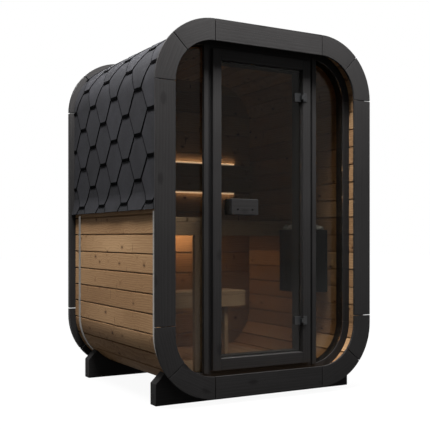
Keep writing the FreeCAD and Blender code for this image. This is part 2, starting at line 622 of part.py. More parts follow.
def benches():
    """The L-shaped upper bench, the lower bench, the backrest and its light strips."""
    wall, under = "inner_half", "upper_seat_level - seat_thickness"
    upper = (under, "upper_seat_level")
    piece("back_bench_seat", block((f"-{wall}", wall), ("back_seat_front", "room_back"), upper))
    piece("side_bench_seat", block((f"-{wall}", "side_seat_inner"), ("room_front", "back_seat_front"), upper))
    apron = (f"{under} - apron_height", under)
    back_front = ("back_seat_front", "back_seat_front + apron_thickness")
    side_end = ("room_front", "room_front + apron_thickness")
    piece("back_bench_front", block(("side_seat_inner", wall), back_front, apron))
    piece("side_bench_front", block(("side_seat_inner - apron_thickness", "side_seat_inner"),
                                    (side_end[1], "back_seat_front"), apron))
    piece("side_bench_end", block((f"-{wall}", "side_seat_inner"), side_end, apron))
    leg = block(("side_seat_inner - leg_width", "side_seat_inner"), ("room_front", "room_front + leg_depth"),
                ("floor_top", f"{under} - apron_height"))
    lower_under = "lower_seat_level - seat_thickness"
    lower_span = (f"-{wall}", "lower_seat_end")
    lower_apron = ("lower_front", "lower_front + apron_thickness")
    behind_apron = (lower_apron[1], "lower_back")
    lower_top = (lower_under, "lower_seat_level")
    piece("lower_bench_seat", block(lower_span, ("lower_front", "lower_back"), lower_top))
    piece("lower_bench_front", block(lower_span, lower_apron, (f"{lower_under} - apron_height", lower_under)))
    panel = "lower_seat_end - panel_leg_inset"
    panel_span = (panel, f"{panel} + panel_leg_thickness")
    panel_leg = block(panel_span, behind_apron, ("floor_top", lower_under))
    piece("bench_legs", group([leg, panel_leg]))
    right_face = (f"{wall} - cleat_thickness", wall)
    left_face = (f"-{wall}", f"-({wall} - cleat_thickness)")
    cleat_level = (f"{under} - cleat_height", under)
    cleats = [
        block(right_face, (back_front[1], "room_back"), cleat_level),
        block(left_face, (side_end[1], "room_back"), cleat_level),
        block(left_face, behind_apron, (f"{lower_under} - cleat_height", lower_under)),
    ]
    piece("bench_cleats", group(cleats))

    rest_front = "room_back - backrest_standoff - backrest_thickness"
    rest = (rest_front, "room_back - backrest_standoff")
    upper_board = "backrest_bottom + backrest_board + backrest_gap"
    boards = [block((f"-{wall}", wall), rest, (low, f"{low} + backrest_board"))
              for low in ("backrest_bottom", upper_board)]
    piece("backrest_boards", group(boards))
    battens = [block((f"{x} - batten_width / 2", f"{x} + batten_width / 2"), (rest[1], "room_back"),
                     ("backrest_bottom", f"{upper_board} + backrest_board"))
               for x in ("-arc_side", "0", "arc_side")]
    piece("backrest_battens", group(battens))
    strip_depth = ("room_back - light_depth", "room_back")
    strip_span = (f"-{wall}", f"{wall} - light_margin")
    above = f"{upper_board} + backrest_board + light_gap"
    below = "backrest_bottom - light_gap - light_height"
    strips = [block(strip_span, strip_depth, (low, f"{low} + light_height")) for low in (above, below)]
    piece("light_strips", group(strips))


def heater():
    """The wall-hung heater: a sheet casing with an open stone well, and its bracket."""
    across, along = ("heater_side", "heater_back"), ("heater_near", "heater_far")
    outer = block(across, along, ("heater_bottom", "heater_top"))
    well = block(("heater_side + heater_sheet", "heater_back - heater_sheet"),
                 ("heater_near + heater_sheet", "heater_far - heater_sheet"),
                 ("heater_top - heater_well", f"heater_top + {MARGIN}"))
    piece("heater_casing", cut(outer, well))
    base = ("heater_side + heater_sheet + seat_gap", "heater_near + heater_sheet + seat_gap")
    far = ("heater_back - heater_sheet - seat_gap", "heater_far - heater_sheet - seat_gap")
    bed = block((base[0], far[0]), (base[1], far[1]), ("heater_top - heater_well", "heater_top + stone_rise"))
    piece("heater_stones", bed)
    beside = ("heater_near + heater_width / 4", "heater_far - heater_width / 4")
    level = ("heater_bottom + heater_width / 4", "heater_top - heater_well / 2")
    piece("heater_bracket", block(("heater_back", "inner_half"), beside, level))


def check_and_export():
    """Refuse a failed object, then write each piece to its file."""
    doc.recompute()
    for thing in doc.Objects:
        if {"Invalid", "Error"} & set(thing.State):
            raise RuntimeError(f"{thing.Label} failed: {thing.State}")
    os.makedirs("parts", exist_ok=True)
    for name, thing in parts.items():
        shape = thing.Shape
        if shape.isNull() or not shape.isValid() or not shape.Solids:
            raise RuntimeError(f"{name} has no valid solid")
        shape.exportStep(f"parts/{name}.step")
        print(f"{name}: {len(shape.Solids)} solids, {shape.Volume / 1e9:.5f} m3")


fill_sheet()
trim_ring("front_ring", "front", "front_ring_thickness")
trim_ring("rear_ring", "shell_rear", "rear_ring_thickness")
shell()
roofing()
straps_and_feet()
front_wall()
door()
room()
benches()
heater()
check_and_export()
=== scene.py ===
# %% [markdown]
# # An outdoor sauna cabin
# A rounded box of pine boards between two black-stained trim rings. Bitumen shingles cover
# the roof and the upper walls, and a tinted glass front with a hinged door stands back
# inside the front ring. The frame holds every size, so this script only has to dress it.
# All sizes in the calls below are in millimetres; Blender itself works in metres.

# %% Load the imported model
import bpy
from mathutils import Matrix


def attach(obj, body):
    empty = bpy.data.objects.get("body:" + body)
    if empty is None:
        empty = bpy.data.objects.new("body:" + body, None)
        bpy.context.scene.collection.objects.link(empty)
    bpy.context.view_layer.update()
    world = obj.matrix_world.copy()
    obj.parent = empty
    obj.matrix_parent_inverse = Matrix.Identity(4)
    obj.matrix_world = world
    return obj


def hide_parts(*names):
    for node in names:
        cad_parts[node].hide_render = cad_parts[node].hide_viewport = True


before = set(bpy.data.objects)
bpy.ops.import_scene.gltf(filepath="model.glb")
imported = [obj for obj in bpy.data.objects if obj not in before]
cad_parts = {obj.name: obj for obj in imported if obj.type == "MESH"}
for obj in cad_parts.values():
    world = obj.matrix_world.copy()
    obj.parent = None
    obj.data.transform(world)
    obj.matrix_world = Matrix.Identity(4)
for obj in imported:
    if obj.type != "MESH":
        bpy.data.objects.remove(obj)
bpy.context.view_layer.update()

# %% [markdown]
# ## Small helpers
# Operators act on everything that is selected, so each helper starts by clearing the
# selection. A block is the start of most boards: it is made at its size and place, and its
# place is applied at once, so that the object stays at the origin and patterns don't slide.

# %% Helpers for pieces
import bpy
import math
import random
from mathutils import Vector

MM = 0.001
# The faces of the front ring and the rear ring; y runs from the front to the back
FRONT, REAR = -707, 707
# Points nearer than this are one point, in metres
MERGE = 0.00002
# One seeded source of chance, so that each run gives the same cabin
dice = random.Random(7)


def deselect():
    if bpy.context.object and bpy.context.object.mode != "OBJECT":
        bpy.ops.object.mode_set(mode="OBJECT")
    bpy.ops.object.select_all(action="DESELECT")


def activate(piece):
    deselect()
    piece.select_set(True)
    bpy.context.view_layer.objects.active = piece


def edit_all(piece, kind="VERT"):
    """Enter edit mode with the whole piece selected."""
    activate(piece)
    bpy.ops.object.mode_set(mode="EDIT")
    bpy.ops.mesh.select_mode(type=kind)
    bpy.ops.mesh.select_all(action="SELECT")


def leave_edit():
    bpy.ops.object.mode_set(mode="OBJECT")


def block(name, x, y, z):
    """A box between two values along each axis, in millimetres."""
    deselect()
    middle = [(pair[0] + pair[1]) / 2 * MM for pair in (x, y, z)]
    size = [abs(pair[1] - pair[0]) * MM for pair in (x, y, z)]
    bpy.ops.mesh.primitive_cube_add(size=1, location=middle, scale=size)
    bpy.ops.object.transform_apply(location=True, rotation=True, scale=True)
    bpy.context.object.name = name
    return bpy.context.object


def pick(piece, kind, test):
    """Enter edit mode with only the faces or vertices that pass the test selected."""
    edit_all(piece, kind)
    bpy.ops.mesh.select_all(action="DESELECT")
    leave_edit()
    if kind == "FACE":
        for face in piece.data.polygons:
            face.select = test(face.center / MM, face.normal)
    else:
        for point in piece.data.vertices:
            point.select = test(point.co / MM)
    bpy.ops.object.mode_set(mode="EDIT")


def extrude(x=0, y=0, z=0):
    """Extrude what is selected by a way in millimetres."""
    way = (x * MM, y * MM, z * MM)
    bpy.ops.mesh.extrude_region_move(TRANSFORM_OT_translate={"value": way})


def modify(piece, kind, **settings):
    """Add a modifier with its settings and apply it."""
    activate(piece)
    modifier = piece.modifiers.new(kind.title(), kind)
    for key, value in settings.items():
        setattr(modifier, key, value)
    bpy.ops.object.modifier_apply(modifier=modifier.name)
    return piece


def ease(piece, width, segments=2):
    """Take the sharpness off every edge that is steeper than 35 degrees."""
    steep = math.radians(35)
    modify(piece, "BEVEL", width=width * MM, segments=segments, limit_method="ANGLE",
           angle_limit=steep, use_clamp_overlap=True)
    activate(piece)
    bpy.ops.object.shade_smooth_by_angle(angle=steep)
    return piece


def close_up(piece):
    """Merge doubles and point every face outwards."""
    edit_all(piece)
    bpy.ops.mesh.remove_doubles(threshold=MERGE)
    bpy.ops.mesh.normals_make_consistent(inside=False)
    leave_edit()
    return piece


def lay_grain(piece, along):
    """Give each point its place in its own board, x along the grain, and each board a tone."""
    along = Vector(along).normalized()
    across = along.orthogonal().normalized()
    through = along.cross(across)
    jump = Vector([dice.uniform(0, 30) for _ in range(3)])
    tone = dice.random()
    layers = piece.data.attributes
    for name, kind in (("grain", "FLOAT_VECTOR"), ("tone", "FLOAT")):
        if name in layers:
            layers.remove(layers[name])
        layers.new(name, kind, "POINT")
    for point in piece.data.vertices:
        place = Vector([point.co.dot(axis) for axis in (along, across, through)]) + jump
        layers["grain"].data[point.index].vector = place
        layers["tone"].data[point.index].value = tone
    return piece


def join(name, pieces):
    deselect()
    for piece in pieces:
        piece.select_set(True)
    bpy.context.view_layer.objects.active = pieces[0]
    if len(pieces) > 1:
        bpy.ops.object.join()
    bpy.context.object.name = name
    return bpy.context.object


def finish_piece(piece, body, finish, *nodes):
    """Dress a piece, let it ride on its body, and hide the plain nodes that it stands for.

    A finish is a slot of the record and its material; the slot is not used. With None the piece keeps
    its own."""
    slot, material = finish
    if material:
        piece.data.materials.clear()
        piece.data.materials.append(material)
    even_shading(piece)
    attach(piece, body)
    if nodes:
        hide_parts(*nodes)
    loose = sum(1 for count in edge_uses(piece) if count != 2)
    print(f"{piece.name}: {len(piece.data.polygons)} faces, {loose} open edges")
    return piece


def even_shading(piece):
    """Let the large faces set the normals, so that a flat board shades flat up to its edge."""
    activate(piece)
    bpy.ops.object.shade_smooth_by_angle(angle=math.radians(40))
    modify(piece, "WEIGHTED_NORMAL", keep_sharp=True, weight=90)


def edge_uses(piece):
    uses = [0] * len(piece.data.edges)
    for face in piece.data.polygons:
        for loop in face.loop_indices:
            uses[piece.data.loops[loop].edge_index] += 1
    return uses


def copy_of_node(node, name):
    """A clean copy of a node's mesh: doubles merged and flat faces made whole again."""
    deselect()
    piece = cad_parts[node].copy()
    piece.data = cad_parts[node].data.copy()
    piece.parent = None
    for key in list(piece.keys()):
        del piece[key]
    bpy.context.scene.collection.objects.link(piece)
    piece.name = name
    activate(piece)
    bpy.ops.mesh.customdata_custom_splitnormals_clear()
    edit_all(piece)
    bpy.ops.mesh.remove_doubles(threshold=MERGE)
    bpy.ops.mesh.dissolve_limited(angle_limit=math.radians(0.5))
    leave_edit()
    return piece


print("helpers ready")

# %% [markdown]
# ## Helpers for materials
# A real surface is named first, then its nodes are laid. Colours are written as they look
# on a screen, so one function turns them to the linear values that the renderer needs.
# One other function adds any node, with its settings and its links.

# %% Helpers for materials


def colour(code):
    """An sRGB hex value as linear red, green, blue and alpha."""
    parts = [int(code[start:start + 2], 16) / 255 for start in (1, 3, 5)]
    linear = [v / 12.92 if v <= 0.04045 else ((v + 0.055) / 1.055) ** 2.4 for v in parts]
    return (*linear, 1.0)


def add(tree, kind, links=None, values=None, **settings):
    """Add a node: settings are its own, values fill its inputs, links join its inputs."""
    node = tree.nodes.new("ShaderNode" + kind)
    for key, value in settings.items():
        setattr(node, key, value)
    for key, value in (values or {}).items():
        node.inputs[key].default_value = value
    for key, source in (links or {}).items():
        tree.links.new(source, node.inputs[key])
    return node


def ramp(tree, source, *stops):
    """A colour ramp through (place, hex) stops."""
    node = add(tree, "ValToRGB", {"Fac": source})
    elements = node.color_ramp.elements
    while len(elements) < len(stops):
        elements.new(0.5)
    for element, (place, code) in zip(elements, stops):
        element.position = place
        element.color = colour(code)
    return node.outputs["Color"]


def new_material(name, **values):
    """An empty material with one shader, whose plain values are set on its sockets."""
    material = bpy.data.materials.new(name)
    material.use_nodes = True
    tree = material.node_tree
    shader = tree.nodes["Principled BSDF"]
    for key, value in values.items():
        shader.inputs[key.replace("_", " ")].default_value = value
    return material, tree, shader


print("material helpers ready")

# %% [markdown]
# ## Pine boards
# The walls, benches and floor are softwood boards, planed and left bare; the wall boards are
# a little darker from heat treatment. A flat-sawn pine face shows long bands of early and
# late wood about 10 mm apart, fine fibres, and a small knot every hand's breadth or two. The
# bands come from a wave texture squeezed along the grain, the knots from cells 125 mm long,
# and each board jumps to its own spot of the pattern through its grain attribute.

# %% Bare pine


def pine(name, light, middle, dark, knot, roughness=0.62, knots=1.0):
    material, tree, shader = new_material(name, Roughness=roughness, Specular_IOR_Level=0.06)
    grain = add(tree, "Attribute", attribute_name="grain").outputs["Vector"]
    # Knots about 15 mm across in a darker halo of 30 mm, with ragged edges
    ragged = add(tree, "TexNoise", {"Vector": grain}, {"Scale": 60.0, "Detail": 2.0}).outputs["Color"]
    ragged = add(tree, "VectorMath", {0: ragged, 2: grain}, {1: (0.016, 0.016, 0.016)},
                 operation="MULTIPLY_ADD").outputs["Vector"]
    cells = add(tree, "Mapping", {"Vector": ragged}, {"Scale": (8.0, 12.0, 12.0)}).outputs["Vector"]
    spots = add(tree, "TexVoronoi", {"Vector": cells}, {"Scale": 1.0}).outputs["Distance"]
    halo = add(tree, "MapRange", {"Value": spots}, {"From Min": 0.1, "From Max": 0.24,
               "To Min": 0.5 * knots, "To Max": 0.0}).outputs["Result"]
    core = add(tree, "MapRange", {"Value": spots}, {"From Min": 0.06, "From Max": 0.115,
               "To Min": 0.9 * knots, "To Max": 0.0}).outputs["Result"]
    # Branches that were sawn lengthwise: streaks across the board, 5 mm wide and 50 mm long
    torn = add(tree, "TexNoise", {"Vector": grain}, {"Scale": 34.0, "Detail": 3.0}).outputs["Color"]
    torn = add(tree, "VectorMath", {0: torn, 2: grain}, {1: (0.022, 0.022, 0.022)},
               operation="MULTIPLY_ADD").outputs["Vector"]
    strips = add(tree, "Mapping", {"Vector": torn}, {"Location": (3.0, 1.0, 2.0),
                 "Scale": (9.0, 7.0, 7.0)}).outputs["Vector"]
    branch = add(tree, "TexVoronoi", {"Vector": strips}, {"Scale": 1.0},
                 distance="CHEBYCHEV").outputs["Position"]
    off = add(tree, "VectorMath", {0: branch, 1: strips}, operation="SUBTRACT").outputs["Vector"]
    off = add(tree, "VectorMath", {0: off}, {1: (7.0, 1.0, 1.0)},
              operation="MULTIPLY").outputs["Vector"]
    off = add(tree, "VectorMath", {0: off}, operation="LENGTH").outputs["Value"]
    streak = add(tree, "MapRange", {"Value": off}, {"From Min": 0.13, "From Max": 0.24,
                 "To Min": 0.8 * knots, "To Max": 0.0}).outputs["Result"]
    # The bands bow round each knot, and wander a little everywhere
    bow = add(tree, "MapRange", {"Value": spots}, {"From Min": 0.0, "From Max": 0.5,
              "To Min": 0.016, "To Max": 0.0}, interpolation_type="SMOOTHSTEP").outputs["Result"]
    bent = add(tree, "TexNoise", {"Vector": grain}, {"Scale": 3.0, "Detail": 1.0}).outputs["Fac"]
    bow = add(tree, "Math", {0: bent, 2: bow}, {1: 0.03}, operation="MULTIPLY_ADD").outputs["Value"]
    shift = add(tree, "CombineXYZ", {"Y": bow, "Z": bow}).outputs["Vector"]
    moved = add(tree, "VectorMath", {0: grain, 1: shift}, operation="ADD").outputs["Vector"]
    # Bands of early and late wood 10 mm wide, some thirty times as long as they are wide
    long = add(tree, "Mapping", {"Vector": moved}, {"Scale": (0.035, 1.0, 1.0)}).outputs["Vector"]
    bands = add(tree, "TexWave", {"Vector": long}, {"Scale": 30.0, "Distortion": 7.0,
                "Detail": 2.0, "Detail Scale": 0.4, "Detail Roughness": 0.5},
                bands_direction="Y", wave_profile="SAW").outputs["Fac"]
    # Fibres about 2 mm wide and 120 mm long, with finer ones in them
    drawn = add(tree, "Mapping", {"Vector": moved}, {"Scale": (0.02, 1.0, 1.0)}).outputs["Vector"]
    fibres = add(tree, "TexNoise", {"Vector": drawn}, {"Scale": 420.0, "Detail": 3.0,
                 "Roughness": 0.6}).outputs["Fac"]
    # Slow changes along a board, and each board's tone, which on some wall boards also holds painted
    # shade
    patch = add(tree, "TexNoise", {"Vector": grain}, {"Scale": 1.3, "Detail": 1.0}).outputs["Fac"]
    board = add(tree, "Attribute", attribute_name="tone").outputs["Fac"]
    share = add(tree, "Math", {0: bands}, {1: 0.17}, operation="MULTIPLY").outputs["Value"]
    for part, weight in ((fibres, 0.5), (patch, 0.45), (board, 0.2)):
        share = add(tree, "Math", {0: part, 2: share}, {1: weight},
                    operation="MULTIPLY_ADD").outputs["Value"]
    body = ramp(tree, share, (0.42, light), (0.68, middle), (0.98, dark))
    redder = add(tree, "Mix", {0: halo, 6: body}, {7: colour(dark)}, data_type="RGBA").outputs[2]
    dots = add(tree, "Math", {0: core, 1: streak}, operation="MAXIMUM").outputs["Value"]
    knotted = add(tree, "Mix", {0: dots, 6: redder}, {7: colour(knot)}, data_type="RGBA").outputs[2]
    tree.links.new(knotted, shader.inputs["Base Color"])
    height = add(tree, "Math", {0: fibres, 1: bands}, operation="ADD").outputs["Value"]
    bump = add(tree, "Bump", {"Height": height}, {"Strength": 0.25, "Distance": 0.0006})
    tree.links.new(bump.outputs["Normal"], shader.inputs["Normal"])
    return material


wall_pine = pine("heat_treated_pine", "#b4926d", "#957453", "#6a4b32", "#3a241a")
bench_pine = pine("planed_bench_pine", "#a38b70", "#8e765d", "#705a46", "#4e3826",
                  roughness=0.55, knots=0.4)
print("pine:", wall_pine.name, bench_pine.name)

# %% [markdown]
# ## Black-stained spruce
# The trim rings, door casing, posts and feet are the same softwood under an opaque black
# stain. The colour is nearly even, but the stain sinks in less on the hard late wood, so the
# grain still shows as fine ridges that catch the light.

# %% Black stain


def stained(name, light, dark, roughness):
    material, tree, shader = new_material(name, Specular_IOR_Level=0.07)
    grain = add(tree, "Attribute", attribute_name="grain").outputs["Vector"]
    # Bands 12 mm apart and fibres about 2.5 mm wide, as in the bare boards
    long = add(tree, "Mapping", {"Vector": grain}, {"Scale": (0.05, 1.0, 1.0)}).outputs["Vector"]
    bands = add(tree, "TexWave", {"Vector": long}, {"Scale": 26.0, "Distortion": 8.0, "Detail": 2.0,
                "Detail Scale": 0.7}, bands_direction="Y", wave_profile="SAW").outputs["Fac"]
    drawn = add(tree, "Mapping", {"Vector": grain}, {"Scale": (0.03, 1.0, 1.0)}).outputs["Vector"]
    fibres = add(tree, "TexNoise", {"Vector": drawn}, {"Scale": 380.0, "Detail": 3.0,
                 "Roughness": 0.6}).outputs["Fac"]
    tone = add(tree, "TexNoise", {"Vector": grain}, {"Scale": 2.4, "Detail": 2.0}).outputs["Fac"]
    # Knots show through the stain as slightly darker spots, one to 250 mm of a board's length
    cells = add(tree, "Mapping", {"Vector": grain}, {"Scale": (4.0, 8.0, 8.0)}).outputs["Vector"]
    spots = add(tree, "TexVoronoi", {"Vector": cells}, {"Scale": 1.0}).outputs["Distance"]
    knots = add(tree, "MapRange", {"Value": spots}, {"From Min": 0.08, "From Max": 0.17,
                "To Min": 0.35, "To Max": 0.0}).outputs["Result"]
    share = add(tree, "Math", {0: fibres}, {1: 0.4}, operation="MULTIPLY").outputs["Value"]
    for part, weight in ((bands, 0.2), (tone, 0.5)):
        share = add(tree, "Math", {0: part, 2: share}, {1: weight},
                    operation="MULTIPLY_ADD").outputs["Value"]
    share = add(tree, "Math", {0: share, 1: knots}, operation="SUBTRACT").outputs["Value"]
    tree.links.new(ramp(tree, share, (0.25, dark), (0.85, light)), shader.inputs["Base Color"])
    sheen = add(tree, "MapRange", {"Value": fibres}, {"To Min": roughness - 0.1,
                "To Max": roughness + 0.12}).outputs["Result"]
    tree.links.new(sheen, shader.inputs["Roughness"])
    height = add(tree, "Math", {0: fibres, 1: bands}, operation="ADD").outputs["Value"]
    bump = add(tree, "Bump", {"Height": height}, {"Strength": 0.35, "Distance": 0.0007})
    tree.links.new(bump.outputs["Normal"], shader.inputs["Normal"])
    return material


black_stain = stained("black_stained_spruce", "#2d2c2c", "#1d1c1c", 0.5)
print("stain:", black_stain.name)

# %% [markdown]
# ## Bitumen shingle
# A shingle is a felt soaked in bitumen with crushed slate pressed into its face. Grains are
# about 1 mm; at this distance they only show as a faint speckle, so they are drawn 3 mm wide.
# Cut edges show the bare black bitumen, which makes every tab stand out with a thin dark line.
# The same black, in a wider band round each tab and in a lip at its foot, paints the shade along the
# edges and under the foot.

# %% Shingle


def slate_shingle():
    material, tree, shader = new_material("slate_grit_shingle", Roughness=0.82, Specular_IOR_Level=0.05)
    place = add(tree, "TexCoord").outputs["Object"]
    grit = add(tree, "TexVoronoi", {"Vector": place}, {"Scale": 330.0}).outputs["Color"]
    grey = add(tree, "RGBToBW", {"Color": grit}).outputs["Val"]
    cloud = add(tree, "TexNoise", {"Vector": place}, {"Scale": 9.0, "Detail": 3.0}).outputs["Fac"]
    # Tabs from different bundles differ a little
    bundle = add(tree, "Attribute", attribute_name="tone").outputs["Fac"]
    share = add(tree, "Math", {0: grey}, {1: 0.4}, operation="MULTIPLY").outputs["Value"]
    for part, weight in ((cloud, 0.5), (bundle, 0.22)):
        share = add(tree, "Math", {0: part, 2: share}, {1: weight},
                    operation="MULTIPLY_ADD").outputs["Value"]
    tree.links.new(ramp(tree, share, (0.2, "#1c1c1d"), (0.85, "#2c2c2f")), shader.inputs["Base Color"])
    bump = add(tree, "Bump", {"Height": grey}, {"Strength": 0.5, "Distance": 0.001})
    tree.links.new(bump.outputs["Normal"], shader.inputs["Normal"])
    return material


def bitumen_and_painted_shade():
    material, tree, shader = new_material("bitumen_and_painted_shade", Roughness=0.85, Specular_IOR_Level=0.0)
    place = add(tree, "TexCoord").outputs["Object"]
    cloud = add(tree, "TexNoise", {"Vector": place}, {"Scale": 60.0, "Detail": 2.0}).outputs["Fac"]
    tree.links.new(ramp(tree, cloud, (0.3, "#040404"), (0.7, "#0a0a0b")), shader.inputs["Base Color"])
    return material


shingle, bitumen = slate_shingle(), bitumen_and_painted_shade()
print("shingle:", shingle.name, bitumen.name)

# %% [markdown]
# ## Metals, glass, stone and light
# Hot-dip galvanised steel has zinc crystals 5 to 15 mm across, each with its own gloss. The
# hinges and the heater are steel under black powder coat, which has a fine orange-peel skin.
# The glass is 8 mm toughened sheet with a bronze-grey tint: the tint is the colour of the
# light that passes, so it goes in the base colour of a clear, transmitting shader. The stones
# are dark olivine diabase, but their speckled grey is set lighter, a painted light in place of a
# lamp over the heater. The light strips glow through a milky cover. Last, each slot of
# the imported record is paired with the material that was made for it.

# %% Metals


def galvanised():
    material, tree, shader = new_material("galvanised_strip_steel", Metallic=1.0)
    place = add(tree, "TexCoord").outputs["Object"]
    crystals = add(tree, "TexVoronoi", {"Vector": place}, {"Scale": 110.0}).outputs["Color"]
    grey = add(tree, "RGBToBW", {"Color": crystals}).outputs["Val"]
    tree.links.new(ramp(tree, grey, (0.1, "#86827e"), (0.9, "#a4a09a")), shader.inputs["Base Color"])
    gloss = add(tree, "MapRange", {"Value": grey}, {"To Min": 0.38, "To Max": 0.58}).outputs["Result"]
    tree.links.new(gloss, shader.inputs["Roughness"])
    return material


def powder_coat(name, dark, light, shine):
    material, tree, shader = new_material(name, Specular_IOR_Level=shine)
    place = add(tree, "TexCoord").outputs["Object"]
    peel = add(tree, "TexNoise", {"Vector": place}, {"Scale": 600.0, "Detail": 2.0}).outputs["Fac"]
    tree.links.new(ramp(tree, peel, (0.3, dark), (0.7, light)), shader.inputs["Base Color"])
    gloss = add(tree, "MapRange", {"Value": peel}, {"To Min": 0.34, "To Max": 0.48}).outputs["Result"]
    tree.links.new(gloss, shader.inputs["Roughness"])
    bump = add(tree, "Bump", {"Height": peel}, {"Strength": 0.2, "Distance": 0.0003})
    tree.links.new(bump.outputs["Normal"], shader.inputs["Normal"])
    return material


zinc = galvanised()
powder = powder_coat("graphite_powder_coat", "#161617", "#1f2021", 0.45)
soot = powder_coat("black_heater_enamel", "#0b0b0c", "#121213", 0.1)
print("metals:", zinc.name, powder.name, soot.name)

# %% Glass, stone and light


def bronze_glass():
    material, tree, shader = new_material("bronze_grey_toughened_glass", Roughness=0.0, IOR=1.45,
                                          Transmission_Weight=1.0, Specular_Tint=(0.26, 0.26, 0.26, 1))
    place = add(tree, "TexCoord").outputs["Object"]
    # Toughening leaves waves of a few centimetres in the tint, far too weak to bend lines
    waves = add(tree, "TexNoise", {"Vector": place}, {"Scale": 6.0, "Detail": 1.0}).outputs["Fac"]
    tree.links.new(ramp(tree, waves, (0.3, "#94938c"), (0.7, "#989790")), shader.inputs["Base Color"])
    # Lamps shine straight through the pane, so that the room gets clean light; the eye sees the tint
    clear = add(tree, "BsdfTransparent")
    tree.links.new(ramp(tree, waves, (0.3, "#f4f3f2"), (0.7, "#f8f7f6")), clear.inputs["Color"])
    from_lamp = add(tree, "LightPath").outputs["Is Shadow Ray"]
    pane = add(tree, "MixShader", {0: from_lamp, 1: shader.outputs["BSDF"], 2: clear.outputs["BSDF"]})
    tree.links.new(pane.outputs["Shader"], tree.nodes["Material Output"].inputs["Surface"])
    return material


def diabase():
    material, tree, shader = new_material("olivine_diabase_painted_light", Roughness=0.8)
    place = add(tree, "TexCoord").outputs["Object"]
    speck = add(tree, "TexNoise", {"Vector": place}, {"Scale": 90.0, "Detail": 4.0}).outputs["Fac"]
    # The grey runs lighter than dark diabase is: painted light that stands in for a lamp over the
    # heater
    tree.links.new(ramp(tree, speck, (0.3, "#4c4b48"), (0.7, "#8c8a84")), shader.inputs["Base Color"])
    bump = add(tree, "Bump", {"Height": speck}, {"Strength": 0.6, "Distance": 0.002})
    tree.links.new(bump.outputs["Normal"], shader.inputs["Normal"])
    return material


def milky_light():
    material, tree, shader = new_material("milky_light_cover", Roughness=0.5, Emission_Strength=1.0)
    place = add(tree, "TexCoord").outputs["Object"]
    # Light sources sit every 16 mm behind the cover and show as faint spots
    spots = add(tree, "TexWave", {"Vector": place}, {"Scale": 20.0}, bands_direction="X").outputs["Fac"]
    glow = ramp(tree, spots, (0.0, "#ffd8b0"), (1.0, "#ffe4c6"))
    tree.links.new(glow, shader.inputs["Emission Color"])
    tree.links.new(glow, shader.inputs["Base Color"])
    return material


glass, stone, glow = bronze_glass(), diabase(), milky_light()
print("glass, stone, light:", glass.name, stone.name, glow.name)

# %% Finishes
BLACK_WOOD = ("black_stained_wood", black_stain)
WALL_WOOD, FLOOR_WOOD = ("brown_boards", wall_pine), ("brown_boards", bench_pine)
BENCH_WOOD = ("bench_wood", bench_pine)
# A tab has two materials, on its face and on its cut edges with their painted shade, and keeps them
ROOFING = ("shingle", None)
STRAP_STEEL = ("galvanised_steel", zinc)
# The handle's plugs take the dead black of the shingles' cut edges, which paints shade into their holes
COATED, ENAMEL, PLUG_SHADE_BLACK = ("black_metal", powder), ("black_metal", soot), ("black_metal", bitumen)
GLASS, LIGHT, ROCK = ("tinted_glass", glass), ("warm_light", glow), ("stone", stone)
print("finishes ready")

# %% [markdown]
# ## The rounded outline
# Rings, wall boards, the front frame and the shingles all follow one rounded outline, at
# different depths inside it. A place on it is one number: the way from the middle of the
# floor, left and up to the middle of the roof, measured on the outer face of the wall. The
# way has five runs: flat, corner, flat, corner, flat.

# %% Places on the outline
# The rings' half width, their lowest and highest level, and the radius of their corners
HALF, LOW, TOP, RADIUS = 750, 38, 2186, 375
# Where the corners' centres lie
SIDE, LOW_ARC, HIGH_ARC = HALF - RADIUS, LOW + RADIUS, TOP - RADIUS
WALL_INSET, WALL = 40, 38
WALL_RADIUS = RADIUS - WALL_INSET
# The wall's inner face, measured from the middle of the cabin
INNER = HALF - WALL_INSET - WALL
ARC = WALL_RADIUS * math.pi / 2
RUNS = [SIDE, ARC, HIGH_ARC - LOW_ARC, ARC, SIDE]
STARTS = [sum(RUNS[:count]) for count in range(6)]
WAY = STARTS[5]
# Two places on the way that are nearer than this are one place
NEARLY = 1e-6


def run_at(way):
    """The number of the run that a place lies on, the later one where two meet."""
    return max(run for run in range(5) if way >= STARTS[run] - NEARLY)


def on_outline(way, inset):
    """The point (x, z) at a place on the left half, and the heading there in radians."""
    run = run_at(way)
    along = way - STARTS[run]
    if run == 0:
        return -along, LOW + inset, -math.pi / 2
    if run == 2:
        return -HALF + inset, LOW_ARC + along, 0.0
    if run == 4:
        return -SIDE + along, TOP - inset, math.pi / 2
    turn = along / WALL_RADIUS
    reach = RADIUS - inset
    if run == 1:
        x, z = -SIDE - reach * math.sin(turn), LOW_ARC - reach * math.cos(turn)
        return x, z, turn - math.pi / 2
    return -SIDE - reach * math.cos(turn), HIGH_ARC + reach * math.sin(turn), turn


print(f"outline: {WAY:.0f} mm from floor to roof")

# %% [markdown]
# ## A board that follows the outline
# A curved board could be a long block bent by a modifier, but then its joints would drift.
# Instead its end section is drawn as a plane, pushed straight along the flats with extrude
# and swept round the corners with spin. That gives true arcs and ends square to the curve.

# %% Bent boards
STEP = math.radians(5)
# A tongue lies this share of the board's thickness inside each of its faces
TONGUE_INSET = 0.32


